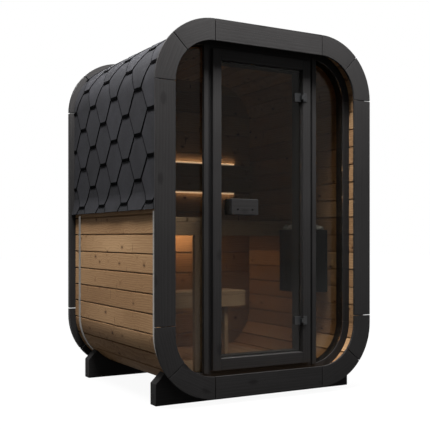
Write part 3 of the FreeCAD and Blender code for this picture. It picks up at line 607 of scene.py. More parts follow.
def bent_board(name, insets, depth, start, end, tongue=0):
    """A board between two places on the outline; a tongue reaches on past its end."""
    deselect()
    outer, inner = insets
    x, z, heading = on_outline(start, (outer + inner) / 2)
    bpy.ops.mesh.primitive_plane_add(size=1, location=(x * MM, sum(depth) / 2 * MM, z * MM),
                                     rotation=(0, heading, 0))
    piece = bpy.context.object
    piece.name = name
    piece.scale = ((inner - outer) * MM, (depth[1] - depth[0]) * MM, 1)
    bpy.ops.object.transform_apply(location=True, rotation=True, scale=True)
    edit_all(piece, "FACE")
    place = start
    while place < end - NEARLY:
        run = run_at(place)
        stop = min(end, STARTS[run + 1])
        length = stop - place
        heading = on_outline(place, outer)[2]
        if run % 2 == 0:
            push(heading, length)
        else:
            centre = (-SIDE * MM, 0, (LOW_ARC if run == 1 else HIGH_ARC) * MM)
            turn = length / WALL_RADIUS
            steps = max(1, round(turn / STEP))
            bpy.ops.mesh.spin(steps=steps, angle=-turn, center=centre, axis=(0, 1, 0))
        place = stop
    if tongue:
        # The heading just before the end, because the next run may start there
        heading = on_outline(end - 0.001, outer)[2]
        bpy.ops.mesh.inset(thickness=(inner - outer) * TONGUE_INSET * MM)
        push(heading, tongue)
    leave_edit()
    return close_up(piece)


def push(heading, length):
    extrude(x=math.sin(heading) * length, z=math.cos(heading) * length)


def twin_of(piece, name):
    """A copy with its own mesh."""
    activate(piece)
    bpy.ops.object.duplicate()
    bpy.context.object.name = name
    return bpy.context.object


def mirrored(piece, name, along=None):
    """A copy on the other side of the cabin, with its own mesh and its own spot of grain."""
    twin = twin_of(piece, name)
    edit_all(twin)
    bpy.ops.transform.resize(value=(-1, 1, 1), center_override=(0, 0, 0))
    bpy.ops.mesh.normals_make_consistent(inside=False)
    leave_edit()
    if along:
        lay_grain(twin, along)
    return twin


print(f"bend in steps of {math.degrees(STEP):.0f} degrees")

# %% [markdown]
# ## Trim rings
# Each ring is built from ordinary planks: two rails, two stiles, and in each corner two
# boards sawn to the curve. The joints between them stay open, by 4 mm in the front ring and
# 6 mm in the thicker rear one. The corners split at an angle, so the grain of each short board
# runs along its own chord. One half is made board by board and each board is then mirrored,
# which keeps the joints in line across the cabin.

# %% Trim rings
RING, RING_EDGE = 124, 1.6
FRONT_BOARD, REAR_BOARD = 16, 38
# How far round each corner its two boards meet, and where the stile stands on the lower corner
LOW_SPLIT, HIGH_SPLIT = math.radians(51), math.radians(45)
STILE_FOOT = 47


def chord(start, end):
    """The way from one place to another along the middle of a ring."""
    x0, z0, _ = on_outline(start, RING / 2)
    x1, z1, _ = on_outline(end, RING / 2)
    return Vector((x1 - x0, 0, z1 - z0))


def ring_half(label, insets, depth, cuts, gap, width):
    """The bent boards between the cuts and their mirror images, in their order."""
    boards = []
    for number, (start, end) in enumerate(zip(cuts, cuts[1:])):
        board = bent_board(f"{label}_{number}", insets, depth, start + gap / 2, end - gap / 2)
        ease(board, width)
        way = chord(start, end)
        lay_grain(board, way)
        boards.append((board, mirrored(board, f"{label}_{number}_right", (-way.x, 0, way.z))))
    return boards


def rail(name, reach, depth, level, width):
    """A level board across the middle of the cabin."""
    board = ease(block(name, (-reach, reach), depth, level), width)
    return lay_grain(board, (1, 0, 0))


def trim_ring(label, depth, joint):
    cuts = [STARTS[1], STARTS[1] + WALL_RADIUS * LOW_SPLIT, STARTS[2] + STILE_FOOT,
            STARTS[3], STARTS[3] + WALL_RADIUS * HIGH_SPLIT, STARTS[4]]
    pairs = ring_half(label, (0, RING), depth, cuts, joint, RING_EDGE)
    stiles = pairs.pop(2)
    reach = SIDE - joint / 2
    sill = rail(label + "_sill", reach, depth, (LOW, LOW + RING), RING_EDGE)
    head = rail(label + "_head", reach, depth, (TOP - RING, TOP), RING_EDGE)
    straight = join(label + "_straight_boards", [sill, head, *stiles])
    curved = join(label + "_curved_boards", [board for pair in pairs for board in pair])
    finish_piece(straight, "cabin", BLACK_WOOD, label + "_boards")
    finish_piece(curved, "cabin", BLACK_WOOD, label + "_corner_boards")


trim_ring("front_ring", (FRONT, FRONT + FRONT_BOARD), 4)
trim_ring("rear_ring", (REAR - REAR_BOARD, REAR), 6)

# %% [markdown]
# ## Wall boards
# The walls are 38 mm tongue-and-groove boards laid round the outline, 112 mm apart, like the
# staves of a barrel. Only a groove of 8 mm shows between two of them, with the tongue deep
# inside it. Each board is bent by the helper above and pushes its own tongue into the next.
# On the ridge a last flat board, the crown stave, closes the vault between the two sides.

# %% Wall boards
PITCH, GROOVE, BOARD_EDGE = 112, 8, 2.4
WALL_DEPTH = (FRONT + FRONT_BOARD, REAR - REAR_BOARD)
# One joint lies this far below the foot of the upright wall
FIRST_JOINT = 6
# Tones of the boards that the photo shows, from the eave down; 0 is the lightest. Besides each board's
# own tone they hold painted shade: the board under the eave and the boards that turn under the lower
# corner are set darker
TONES_AND_PAINTED_SHADE = {13: 0.5, 12: 0.0, 11: 0.3, 10: 0.45, 9: 0.7, 8: 0.35, 7: 0.3, 6: 0.6, 5: 0.7}
joints = [0] + [STARTS[2] - FIRST_JOINT + PITCH * count for count in range(-7, 21)]
left, right = [], []
for number, (start, end) in enumerate(zip(joints, joints[1:])):
    stave = bent_board(f"stave_{number}", (WALL_INSET, WALL_INSET + WALL), WALL_DEPTH,
                       start + GROOVE / 2, end - GROOVE / 2, tongue=GROOVE + 1)
    lay_grain(close_up(ease(stave, BOARD_EDGE)), (0, 1, 0))
    # Listed boards take their tone from the table, painted shade under the eave and the lower corner
    # included
    for point in stave.data.attributes["tone"].data:
        point.value = TONES_AND_PAINTED_SHADE.get(number, point.value)
    left.append(stave)
    right.append(mirrored(stave, f"stave_{number}_right", (0, 1, 0)))
crown = WAY - joints[-1] - GROOVE / 2
level = (TOP - WALL_INSET - WALL, TOP - WALL_INSET)
stave = ease(block("crown_stave", (-crown, crown), WALL_DEPTH, level), 1.4, segments=1)
left.append(lay_grain(stave, (0, 1, 0)))
shared_nodes = ("bottom_deck", "roof_deck", "lower_corner_walls", "upper_corner_walls")
for side, staves in (("left", left), ("right", right)):
    boards = join(side + "_wall_boards", staves)
    finish_piece(boards, "cabin", WALL_WOOD, side + "_wall", *shared_nodes)

# %% [markdown]
# ## Boards cut to the curve
# The back wall is made of wider boards laid level, and their ends are sawn to the rounded
# outline. Drawing each curved end by hand would be slow, so plain boards are made over the
# whole width and a Boolean with a clean copy of the plate keeps only what lies inside it. The
# floor is made in the same way: its slats run front to back, and the outermost are cut narrower.

# %% Boards cut to a node


def solids_of(piece):
    """Take a piece apart into its loose solids."""
    edit_all(piece)
    bpy.ops.mesh.separate(type="LOOSE")
    leave_edit()
    return list(bpy.context.selected_objects)


def cut_to(piece, node, along):
    """Keep only what lies inside a node, and then give each board its grain."""
    name = piece.name
    outline = copy_of_node(node, node + "_outline")
    modify(piece, "BOOLEAN", operation="INTERSECT", solver="EXACT", object=outline)
    bpy.data.objects.remove(outline)
    close_up(piece)
    return join(name, [lay_grain(board, along) for board in solids_of(piece)])


# %% Back wall
BACK, BACK_PITCH = (608, 646), 148
# The level of a joint that shows under the upper bench, and a reach past the wall's own ends
BACK_JOINT, PAST_WALL = 839, 690
boards = []
for number in range(-5, 9):
    low = BACK_JOINT + BACK_PITCH * number
    level = (low + GROOVE / 2, low + BACK_PITCH - GROOVE / 2)
    board = block(f"back_board_{number}", (-PAST_WALL, PAST_WALL), BACK, level)
    pick(board, "FACE", lambda centre, normal: normal.z > 0.9)
    bpy.ops.mesh.inset(thickness=12 * MM)
    extrude(z=GROOVE - 0.5)
    leave_edit()
    boards.append(ease(board, BOARD_EDGE))
back_wall = cut_to(join("back_wall_boards", boards), "back_wall", (1, 0, 0))
finish_piece(back_wall, "cabin", WALL_WOOD, "back_wall")

# %% Floor
FLOOR_BOARD, FLOOR_GAP, FLOOR_COUNT = 88, 4, 11
FLOOR_RUN, FLOOR_LEVEL = (-516, 602), (128, 146)
boards = []
for number in range(FLOOR_COUNT):
    low = (number - FLOOR_COUNT / 2) * (FLOOR_BOARD + FLOOR_GAP) + FLOOR_GAP / 2
    board = block(f"floor_board_{number}", (low, low + FLOOR_BOARD), FLOOR_RUN, FLOOR_LEVEL)
    boards.append(ease(board, 2, segments=1))
floor_boards = cut_to(join("floor_slats", boards), "floor_boards", (0, 1, 0))
finish_piece(floor_boards, "cabin", FLOOR_WOOD, "floor_boards")

# %% [markdown]
# ## Shingles
# The roof is laid with six-sided bitumen shingles from both eaves up to the ridge. Each tab
# is 264 mm across, its lower edge 94 mm, and the next course starts 131 mm higher and half a
# step along, so that the courses close into a honeycomb. One tab is modelled flat: a plane is
# cut into strips so that it can bend, narrowed at the foot, thickened, and tilted so that its
# foot lies on the courses below. Copies fill the courses, a starter strip closes the gaps under
# the lowest one, and a Curve modifier then lays the whole flat field over eave, wall and roof.

# %% One tab
# A tab's width, the width of its foot and its length; the steps from course to course and
# from tab to tab, and the strips that let a piece bend
TAB, TAB_FOOT, TAB_LONG, COURSE, COLUMN, STRIP = 264, 94, 288, 131.2, 358, 26
# The felt's thickness, the height of a tab's foot over the deck and the share of it that tilts
TAB_FELT, TAB_LIFT, TILT_SHARE = 3.0, 10.5, 0.72
# The foot's lip reaches on and hangs a little; it is black felt all over and paints the shadow under
# the foot. Round the face runs a dark band of painted shade along the cut edges
TAB_SHADOW_LIP, LIP_DROP, PAINTED_SHADE_BAND = 11, 1.2, 6.5


def cut_across(piece, places):
    """Cut a flat piece into strips at places along x."""
    edit_all(piece)
    for place in places:
        bpy.ops.mesh.select_all(action="SELECT")
        bpy.ops.mesh.bisect(plane_co=(place * MM, 0, 0), plane_no=(1, 0, 0))
    leave_edit()


def give_two_materials(piece):
    """Slate grit is the first material; the second, bare felt, covers the cut edges and paints the
    shade along the edges and under the feet.
    """
    piece.data.materials.append(shingle)
    piece.data.materials.append(bitumen)


def lay_flat_tab():
    """A tab in the flat: x runs up the roof, y stands off it, z runs along it."""
    deselect()
    bpy.ops.mesh.primitive_plane_add(size=1, location=(TAB_LONG / 2 * MM, 0, 0),
                                     rotation=(-math.pi / 2, 0, 0))
    tab = bpy.context.object
    tab.name = "shingle_tab"
    tab.scale = (TAB_LONG * MM, TAB * MM, 1)
    bpy.ops.object.transform_apply(location=True, rotation=True, scale=True)
    cut_across(tab, (COURSE, *range(STRIP, TAB_LONG, STRIP)))
    for point in tab.data.vertices:
        if point.co.x / MM < COURSE:
            share = TAB_FOOT + (TAB - TAB_FOOT) * point.co.x / MM / COURSE
            point.co.z *= share / TAB
    give_two_materials(tab)
    modify(tab, "SOLIDIFY", thickness=TAB_FELT * MM, offset=-1, material_offset_rim=1)
    # The foot's edge is pushed on into a black lip, a painted shadow under the foot
    pick(tab, "FACE", lambda centre, normal: normal.x < -0.9 and centre.x < 1)
    extrude(x=-TAB_SHADOW_LIP)
    bpy.ops.transform.translate(value=(0, -LIP_DROP * MM, 0))
    leave_edit()
    # A band a few millimetres wide round the tab's face is black felt: painted shade along the edges,
    # wider than the cut edge itself
    pick(tab, "FACE", lambda centre, normal: normal.y > 0.9 and centre.x > 0)
    bpy.ops.mesh.inset(thickness=PAINTED_SHADE_BAND * MM, use_boundary=True)
    bpy.ops.mesh.select_all(action="INVERT")
    leave_edit()
    for face in tab.data.polygons:
        face.material_index = int(face.select)
    tab.rotation_euler.z = -math.atan(TAB_LIFT / TAB_LONG * TILT_SHARE)
    tab.location.y = TAB_LIFT * MM
    activate(tab)
    bpy.ops.object.transform_apply(location=True, rotation=True, scale=True)
    return tab


tab = lay_flat_tab()
print("tab:", len(tab.data.polygons), "faces,", [round(v / MM, 1) for v in tab.dimensions])

# %% The line that the field is laid on
# The eave's level; there the lowest course stands off the wall, on a wedge of this size
EAVE, KICK, KICK_RISE = 1108, 20, 82
kick_long = math.hypot(KICK, KICK_RISE)
# The shingles lie a hair outside the boards
skin = WALL_INSET - 0.2
bends = [STARTS[3] + ARC * part / 24 for part in range(25)]
upright = [STARTS[2] + EAVE + KICK_RISE - LOW_ARC]
path = [(-HALF + skin - KICK, EAVE)]
path += [on_outline(way, skin)[:2] for way in (*upright, *bends, WAY)]
field_long = sum(math.dist(a, b) for a, b in zip(path, path[1:]))
print("line:", len(path), "points over", round(field_long), "mm")

# %% The field of tabs
# In the flat the field lies turned over: its z is the depth with the other sign
FIELD = (-WALL_DEPTH[1], -WALL_DEPTH[0])
FIRST_FOOT, FIRST_COLUMNS = 43.2, (125, -54)
tabs = []
for course in range(-1, 13):
    foot = FIRST_FOOT + COURSE * course
    if foot > field_long:
        break
    for column in range(5):
        middle = -(FRONT + FIRST_COLUMNS[course % 2] + COLUMN * column)
        if middle + TAB / 2 < FIELD[0] or middle - TAB / 2 > FIELD[1]:
            continue
        twin = twin_of(tab, f"tab_{course}_{column}")
        twin.location = (foot * MM, 0, middle * MM)
        bpy.ops.object.transform_apply(location=True, rotation=False, scale=False)
        tabs.append(lay_grain(twin, (1, 0, 0)))
bpy.data.objects.remove(tab)
print("field:", len(tabs), "tabs")

# %% The starter strip, and the trimmed edges
# The field ends this far below the eave, and the starter reaches past it before it is trimmed
OVERHANG, PAST = 4, 20
STARTER_LONG, STARTER_FELT = 196, (2.5, 5.5)


def trim_to_field(piece):
    """Trim a piece at each edge of the field that it crosses, and close each cut."""
    edges = ((0, -OVERHANG, -1), (0, field_long, 1), (2, FIELD[1], 1), (2, FIELD[0], -1))
    for axis, level, way in edges:
        if max(way * point.co[axis] for point in piece.data.vertices) > way * level * MM:
            at, towards = Vector(), Vector()
            at[axis], towards[axis] = level * MM, way
            edit_all(piece)
            bpy.ops.mesh.bisect(plane_co=at, plane_no=towards, clear_outer=True, use_fill=True)
            leave_edit()
    for face in piece.data.polygons:
        if face.center.x / MM < 0.1 - OVERHANG:
            face.material_index = 1
    return piece


across = (FIELD[0] - PAST, FIELD[1] + PAST)
starter = block("starter_strip", (-PAST, STARTER_LONG), STARTER_FELT, across)
cut_across(starter, (20, 45, 70, kick_long, 100, 130, 160))
give_two_materials(starter)
field = join("left_shingles", [trim_to_field(piece) for piece in (*tabs, starter)])
print("left shingles:", len(field.data.polygons), "faces in the flat")

# %% Lay the field over the cabin
line = bpy.data.curves.new("shingle_line", "CURVE")
line.dimensions = "2D"
spline = line.splines.new("POLY")
spline.points.add(len(path) - 1)
for point, (x, z) in zip(spline.points, path):
    point.co = (x * MM, z * MM, 0, 1)
guide = bpy.data.objects.new("shingle_line", line)
bpy.context.scene.collection.objects.link(guide)
modify(field, "CURVE", object=guide, deform_axis="POS_X")
bpy.data.objects.remove(guide)
field.rotation_euler.x = math.pi / 2
activate(field)
bpy.ops.object.transform_apply(location=True, rotation=True, scale=True)
bpy.ops.object.shade_smooth_by_angle(angle=math.radians(30))
print("left shingles reach over", [round(side / MM) for side in field.dimensions], "mm")

# %% [markdown]
# ## Both roof sides and the ridge
# The right side is the same work seen in a mirror. On the ridge, where the two top courses
# meet, single pieces of shingle are nailed across, each lapping the one before by a third.

# %% Right side and ridge
right_field = mirrored(field, "right_shingles")
CAP, CAP_STEP, CAP_HALF, CAP_LEVEL, CAP_RISE = 250, 170, 105, (2156, 2159), 4.5
caps = []
for number in range(8):
    start = WALL_DEPTH[0] + CAP_STEP * number
    end = min(start + CAP, WALL_DEPTH[1])
    cap = block(f"cap_{number}", (-CAP_HALF, CAP_HALF), (start, end), CAP_LEVEL)
    pick(cap, "VERT", lambda point: point.y > end - 1)
    bpy.ops.transform.translate(value=(0, 0, CAP_RISE * MM))
    leave_edit()
    give_two_materials(cap)
    for face in cap.data.polygons:
        face.material_index = int(abs(face.normal.z) < 0.5)
    caps.append(cap)
ridge = join("ridge_caps", caps)
flat_skin = ("roof_shingles", "corner_shingles", "side_shingles", "eave_shingles")
for piece, nodes in ((field, flat_skin), (right_field, flat_skin), (ridge, flat_skin[:1])):
    finish_piece(piece, "cabin", ROOFING, *nodes)

# %% [markdown]
# ## Pieces that keep their node's shape
# Plain sawn pieces, such as the feet, door casing and glazing posts, already have the right
# shape. Each one's solids are taken apart, so that every plank gets its own grain and its own
# eased edges, and are joined again.

# %% Dressed copies


def dressed(node, name, body, finish, along, width):
    """A node's copy with eased edges; the grain runs along a way, or with None the longest side."""
    planks = solids_of(copy_of_node(node, name))
    for plank in planks:
        sides = plank.dimensions
        longest = Vector([float(side == max(sides)) for side in sides])
        if width:
            ease(plank, width)
        lay_grain(plank, along or longest)
    return finish_piece(join(name, planks), body, finish, node)


LEVEL, DEEP, UPRIGHT = (1, 0, 0), (0, 1, 0), (0, 0, 1)
for node, name, finish, along, width in (
    ("front_foot", "front_cradle_foot", BLACK_WOOD, LEVEL, 3),
    ("rear_foot", "rear_cradle_foot", BLACK_WOOD, LEVEL, 3),
    ("eave_battens", "eave_wedges", WALL_WOOD, DEEP, 0),
    ("casing_stiles", "door_casing_stiles", BLACK_WOOD, UPRIGHT, 2),
    ("casing_rails", "door_casing_rails", BLACK_WOOD, LEVEL, 2),
    ("front_posts", "glazing_posts", BLACK_WOOD, UPRIGHT, 1.5),
    ("head_and_sill", "head_and_sill_boards", BLACK_WOOD, LEVEL, 1),
    ("steel_straps", "wall_straps", STRAP_STEEL, None, 0),
    ("floor_bearers", "floor_joists", FLOOR_WOOD, LEVEL, 1),
):
    dressed(node, name, "cabin", finish, along, width)

# %% [markdown]
# ## Front frame
# The glass front stands in a frame that follows the same outline, just inside the wall. It is
# made as the trim rings are, with one bent board in each corner and hairline joints, so the
# two helpers for rings serve again.

# %% Front frame
FRAME_DEPTH, FRAME_INSETS = (FRONT + 110, FRONT + 185), (78.2, 126.2)
FRAME_JOINT, FRAME_EDGE = 0.6, 1.5
low_bend, stiles, high_bend = ring_half("frame", FRAME_INSETS, FRAME_DEPTH, STARTS[1:5],
                                        FRAME_JOINT, FRAME_EDGE)
reach = SIDE - FRAME_JOINT / 2
sill_level = [LOW + inset for inset in FRAME_INSETS]
head_level = [TOP - inset for inset in reversed(FRAME_INSETS)]
straight = [rail("frame_sill", reach, FRAME_DEPTH, sill_level, FRAME_EDGE),
            rail("frame_head", reach, FRAME_DEPTH, head_level, FRAME_EDGE), *stiles]
finish_piece(join("front_frame_straight", straight), "cabin", BLACK_WOOD, "front_frame_boards")
curved = join("front_frame_curved", [*low_bend, *high_bend])
finish_piece(curved, "cabin", BLACK_WOOD, "front_frame_corners")

# %% [markdown]
# ## Glass
# The two side panes and the door leaf are 8 mm sheets with ground edges. They stay solid
# sheets, so that light bends once going in and once coming out, as it does in the real pane.

# %% Panes and door leaf
dressed("side_panes", "side_glass", "cabin", GLASS, UPRIGHT, 0)
dressed("door_leaf", "door_glass", "door", GLASS, UPRIGHT, 0.8)

# %% [markdown]
# ## Door handle and hinges
# The handle is a block of stained wood on each face of the glass, held by two bolts through
# collars. Two holes in the outer block, cut with a Boolean, hold small plugs in the dead black of
# bare bitumen, which paints the shade of deeper holes. Each hinge
# clamps the glass between two plates, and its barrel turns on a pin on the casing's own plate.

# %% Handle
HANDLE_X, HANDLE_Z, GRIP_HALF_LONG, GRIP_HALF_HIGH, GRIP_THICK = -140, 1128, 92, 46.5, 28
BOLT_OFF, COLLAR_LONG, PLUG_OFF, PLUG_DROP = 55, 12, 50, 17
# The outer and the inner face of the door's glass
LEAF = (FRONT + 102, FRONT + 110)


def peg(name, radius, y, x, z, sides=24):
    """A round peg lying front to back between two depths."""
    deselect()
    middle = (x * MM, sum(y) / 2 * MM, z * MM)
    bpy.ops.mesh.primitive_cylinder_add(vertices=sides, radius=radius * MM, location=middle,
                                        depth=abs(y[1] - y[0]) * MM, rotation=(math.pi / 2, 0, 0))
    bpy.ops.object.transform_apply(location=True, rotation=True, scale=True)
    bpy.context.object.name = name
    return bpy.context.object


# Where the two collars end, and the outer grip's face
outer, inner = LEAF[0] - COLLAR_LONG, LEAF[1] + COLLAR_LONG
grip_face = outer - GRIP_THICK
span = (HANDLE_X - GRIP_HALF_LONG, HANDLE_X + GRIP_HALF_LONG)
level = (HANDLE_Z - GRIP_HALF_HIGH, HANDLE_Z + GRIP_HALF_HIGH)
grips = [ease(block("outer_grip", span, (grip_face, outer), level), 3, segments=3),
         ease(block("inner_grip", span, (inner, inner + GRIP_THICK), level), 3, segments=3)]
plug_places = [(HANDLE_X + side * PLUG_OFF, HANDLE_Z - PLUG_DROP) for side in (-1, 1)]
holes = join("holes", [peg("hole", 6, (grip_face - 1, grip_face + 7), *at) for at in plug_places])
modify(grips[0], "BOOLEAN", operation="DIFFERENCE", solver="EXACT", object=holes)
bpy.data.objects.remove(holes)
grips = [lay_grain(close_up(grip), LEVEL) for grip in grips]
finish_piece(join("handle_blocks", grips), "door", BLACK_WOOD, "door_handle")
fittings = []
for x in (HANDLE_X - BOLT_OFF, HANDLE_X + BOLT_OFF):
    for depth in ((outer, LEAF[0]), (LEAF[1], inner)):
        fittings.append(ease(peg("collar", 11, depth, x, HANDLE_Z), 0.8))
    fittings.append(peg("bolt", 5, (outer, inner), x, HANDLE_Z))
finish_piece(join("handle_fittings", fittings), "door", COATED, "door_handle")
# The plugs are dead black with no gloss: painted shade at the bottom of the holes
plugs = [peg("plug", 5.8, (grip_face + 3, grip_face + 10), *at) for at in plug_places]
finish_piece(join("handle_plugs", plugs), "door", PLUG_SHADE_BLACK, "door_handle")

# %% Hinges
dressed("hinge_clamps", "hinge_clamp_plates", "door", COATED, UPRIGHT, 0.7)
dressed("hinge_jambs", "hinge_jamb_plates", "cabin", COATED, UPRIGHT, 0.4)
SCREW_RADIUS, HINGE_LEVELS, SCREW_OFF = 3.2, (440.2, 1808.8), 16


def screw(x, y, z):
    """A screw head that stands 0.7 mm proud, with a round socket, facing the front."""
    head = peg("screw", SCREW_RADIUS, (y - 0.7, y + 1), x, z, sides=16)
    pick(head, "FACE", lambda centre, normal: normal.y < -0.9)
    bpy.ops.mesh.inset(thickness=SCREW_RADIUS * 0.55 * MM)
    extrude(y=1.2)
    leave_edit()
    return head


screw_levels = [level + off for level in HINGE_LEVELS for off in (-SCREW_OFF, SCREW_OFF)]
for name, body, x, y in (
    ("jamb_screws", "cabin", 308, FRONT + 77),
    ("clamp_screws", "door", 252, FRONT + 94),
):
    finish_piece(join(name, [screw(x, y, level) for level in screw_levels]), body, COATED)

# %% [markdown]
# ## Benches and backrest
# Sauna benches are slatted so that heat and air pass: straight slats with 10 mm gaps, edges
# well rounded for bare skin. A seat's slats share its width evenly. The back bench's slats run
# across the cabin and the side bench's run front to back, so one helper does both.

# %% Bench seats
SLAT_GAP, SLAT_EDGE = 10, 4


def slats(name, count, x, y, z, axis, node):
    """Slats that fill a seat; axis is the direction in which they follow one another."""
    low, high = (x, y)[axis]
    width = (high - low + SLAT_GAP) / count
    boards = []
    for number in range(count):
        part = (low + width * number, low + width * (number + 1) - SLAT_GAP)
        spans = (part, y) if axis == 0 else (x, part)
        board = ease(block(f"{name}_{number}", *spans, z), SLAT_EDGE, segments=3)
        boards.append(lay_grain(board, DEEP if axis == 0 else LEVEL))
    return finish_piece(join(name, boards), "cabin", BENCH_WOOD, node)


UPPER, LOWER = (1039, 1065), (578, 604)
# The front edge of the back bench; the side bench's slats end there
BENCH_LINE = 34.8
slats("back_bench_slats", 5, (-INNER, INNER), (BENCH_LINE, BACK[0]), UPPER, 1, "back_bench_seat")
slats("side_bench_slats", 3, (-INNER, -351), (-516, BENCH_LINE), UPPER, 0, "side_bench_seat")
slats("lower_bench_slats", 2, (-INNER, 163), (-157.2, 82.8), LOWER, 1, "lower_bench_seat")

# %% Bench fronts, legs, cleats and backrest
for node, name, width in (
    ("back_bench_front", "back_bench_apron", 3),
    ("side_bench_front", "side_bench_apron", 3),
    ("side_bench_end", "side_bench_end_board", 3),
    ("lower_bench_front", "lower_bench_apron", 3),
    ("bench_cleats", "bench_wall_cleats", 2),
    ("backrest_boards", "backrest_slats", 4),
    ("backrest_battens", "backrest_supports", 2),
):
    dressed(node, name, "cabin", BENCH_WOOD, None, width)
dressed("bench_legs", "bench_uprights", "cabin", BENCH_WOOD, UPRIGHT, 2.5)
dressed("light_strips", "light_strip_covers", "cabin", LIGHT, LEVEL, 1.5)

# %% [markdown]
# ## Heater
# A small wall heater: a folded steel casing with a recessed side panel that carries a row of
# upright bars, filled with broken stones about 60 mm across. Three stones are shaped from an
# icosphere with a displacement, and turned copies of them fill the well in layers.

# %% Heater casing
# The casing's left side, and the middle of its well of stones
HEATER_SIDE, WELL_X, WELL_Y = 450, 546, -268
PANEL_MARGIN, PANEL_DEEP = 22, 4
BAR_COUNT, BAR_STEP, BAR_WIDE, BAR_FIRST = 6, 41, 26, -370
BAR_DEPTH, BAR_LEVEL = (HEATER_SIDE + 1.5, HEATER_SIDE + 5), (640, 800)
casing = solids_of(copy_of_node("heater_casing", "heater_shell"))[0]
pick(casing, "FACE", lambda centre, normal: normal.x < -0.9 and centre.x < HEATER_SIDE + 1)
bpy.ops.mesh.inset(thickness=PANEL_MARGIN * MM)
extrude(x=PANEL_DEEP)
leave_edit()
lay_grain(close_up(ease(casing, 2)), UPRIGHT)
details = [casing]
for number in range(BAR_COUNT):
    low = BAR_FIRST + BAR_STEP * number
    bar = block(f"air_slot_{number}", BAR_DEPTH, (low, low + BAR_WIDE), BAR_LEVEL)
    details.append(lay_grain(ease(bar, 1.5), UPRIGHT))
finish_piece(join("heater_shell", details), "cabin", ENAMEL, "heater_casing")
dressed("heater_bracket", "heater_wall_bracket", "cabin", ENAMEL, UPRIGHT, 1.5)

# %% Heater stones


def rough_stone(name, size):
    """A ball with lumps, each from its own spot of the pattern."""
    deselect()
    bpy.ops.mesh.primitive_ico_sphere_add(subdivisions=3, radius=size / 2 * MM)
    rock = bpy.context.object
    rock.name = name
    lumps = bpy.data.textures.new(name, "VORONOI")
    lumps.noise_scale = 35 * MM
    rock.location = [dice.uniform(0, 1) for _ in range(3)]
    bpy.ops.object.transform_apply(location=True, rotation=False, scale=False)
    modify(rock, "DISPLACE", texture=lumps, strength=16 * MM, texture_coords="LOCAL")
    modify(rock, "DECIMATE", ratio=0.35)
    bpy.ops.object.origin_set(type="ORIGIN_GEOMETRY", center="BOUNDS")
    return rock


kinds = [rough_stone(f"stone_kind_{number}", size) for number, size in enumerate((62, 54, 70))]
# How far the stones' middles spread across and along the well; a layer has three columns
SPREAD_X, SPREAD_Y, COLUMNS = 122, 206, 3
stones = []
for level, rows in ((930, 4), (972, 5), (1006, 4)):
    for column in range(COLUMNS):
        for row in range(rows):
            rock = kinds[dice.randrange(3)].copy()
            rock.data = rock.data.copy()
            bpy.context.scene.collection.objects.link(rock)
            x = WELL_X - SPREAD_X / 2 + SPREAD_X * column / (COLUMNS - 1) + dice.uniform(-6, 6)
            y = WELL_Y - SPREAD_Y / 2 + SPREAD_Y * row / (rows - 1) + dice.uniform(-8, 8)
            rock.location = (x * MM, y * MM, (level + dice.uniform(-6, 8)) * MM)
            rock.rotation_euler = [dice.uniform(0, 6.28) for _ in range(3)]
            rock.scale = [dice.uniform(0.8, 1.05) for _ in range(3)]
            activate(rock)
            bpy.ops.object.transform_apply(location=True, rotation=True, scale=True)
            stones.append(rock)
for rock in kinds:
    bpy.data.objects.remove(rock)
finish_piece(join("heater_rocks", stones), "cabin", ROCK, "heater_stones")

# %% [markdown]
# ## Floor and backdrop
# The cabin stands on a plain pale floor. The white of the picture is not light on the cabin:
# floor and world are white only for the camera, for rays through the glass and, in part, for
# mirrored rays. The floor's own colour under that white is dark, so that it throws no light up
# at the cabin, and the white stays a little under full strength, so that a soft shadow shows.

# %% What shows white


def seen(tree, mirrored):
    """1 where the eye looks, also through the glass, the mirrored share for glossy rays, else 0."""
    rays = add(tree, "LightPath").outputs
    eye = add(tree, "Math", {0: rays["Is Camera Ray"], 1: rays["Is Transmission Ray"]},
              operation="MAXIMUM").outputs["Value"]
    gloss = add(tree, "Math", {0: rays["Is Glossy Ray"], 1: mirrored},
                operation="MULTIPLY").outputs["Value"]
    any_ray = add(tree, "Math", {0: eye, 1: gloss}, operation="MAXIMUM").outputs["Value"]
    # Light that has left a rough surface and goes out through the glass finds no white there
    first = add(tree, "Math", {0: rays["Diffuse Depth"]}, {1: 0.5},
                operation="LESS_THAN").outputs["Value"]
    return add(tree, "Math", {0: any_ray, 1: first}, operation="MULTIPLY").outputs["Value"]


print("white for the eye only")

# %% Studio floor
deselect()
bpy.ops.mesh.primitive_plane_add(size=60, location=(0, 0, 0))
ground = bpy.context.object
ground.name = "studio_floor"
paper, tree, shader = new_material("white_studio_paper", Roughness=0.9, Specular_IOR_Level=0.1)
place = add(tree, "TexCoord").outputs["Object"]
fibre = add(tree, "TexNoise", {"Vector": place}, {"Scale": 300.0}).outputs["Fac"]
tree.links.new(ramp(tree, fibre, (0.3, "#2e2e2e"), (0.7, "#333333")), shader.inputs["Base Color"])
away = add(tree, "VectorMath", {0: place}, operation="LENGTH").outputs["Value"]
# The floor's white, and how much of it mirrors, change with the distance in metres: close to
# the cabin it mirrors only faintly in its feet, further off it shows in the glass, and far off
# it fades into the world, so that the glass shows no horizon
shares = []
for start, end, first, last in ((1.6, 6.0, 0.94, 0.99), (1.4, 2.6, 0.3, 1.0), (3.5, 22.0, 1.0, 0.4)):
    shares.append(add(tree, "MapRange", {"Value": away}, {"From Min": start, "From Max": end,
                      "To Min": first, "To Max": last}).outputs["Result"])
white, near, far = shares
share = add(tree, "Math", {0: near, 1: far}, operation="MULTIPLY").outputs["Value"]
level = add(tree, "Math", {0: seen(tree, share), 1: white}, operation="MULTIPLY").outputs["Value"]
tree.links.new(level, shader.inputs["Emission Strength"])
shader.inputs["Emission Color"].default_value = (1, 1, 1, 1)
ground.data.materials.append(paper)
print("floor:", paper.name)

# %% World
world = bpy.data.worlds.new("studio")
bpy.context.scene.world = world
world.use_nodes = True
tree = world.node_tree
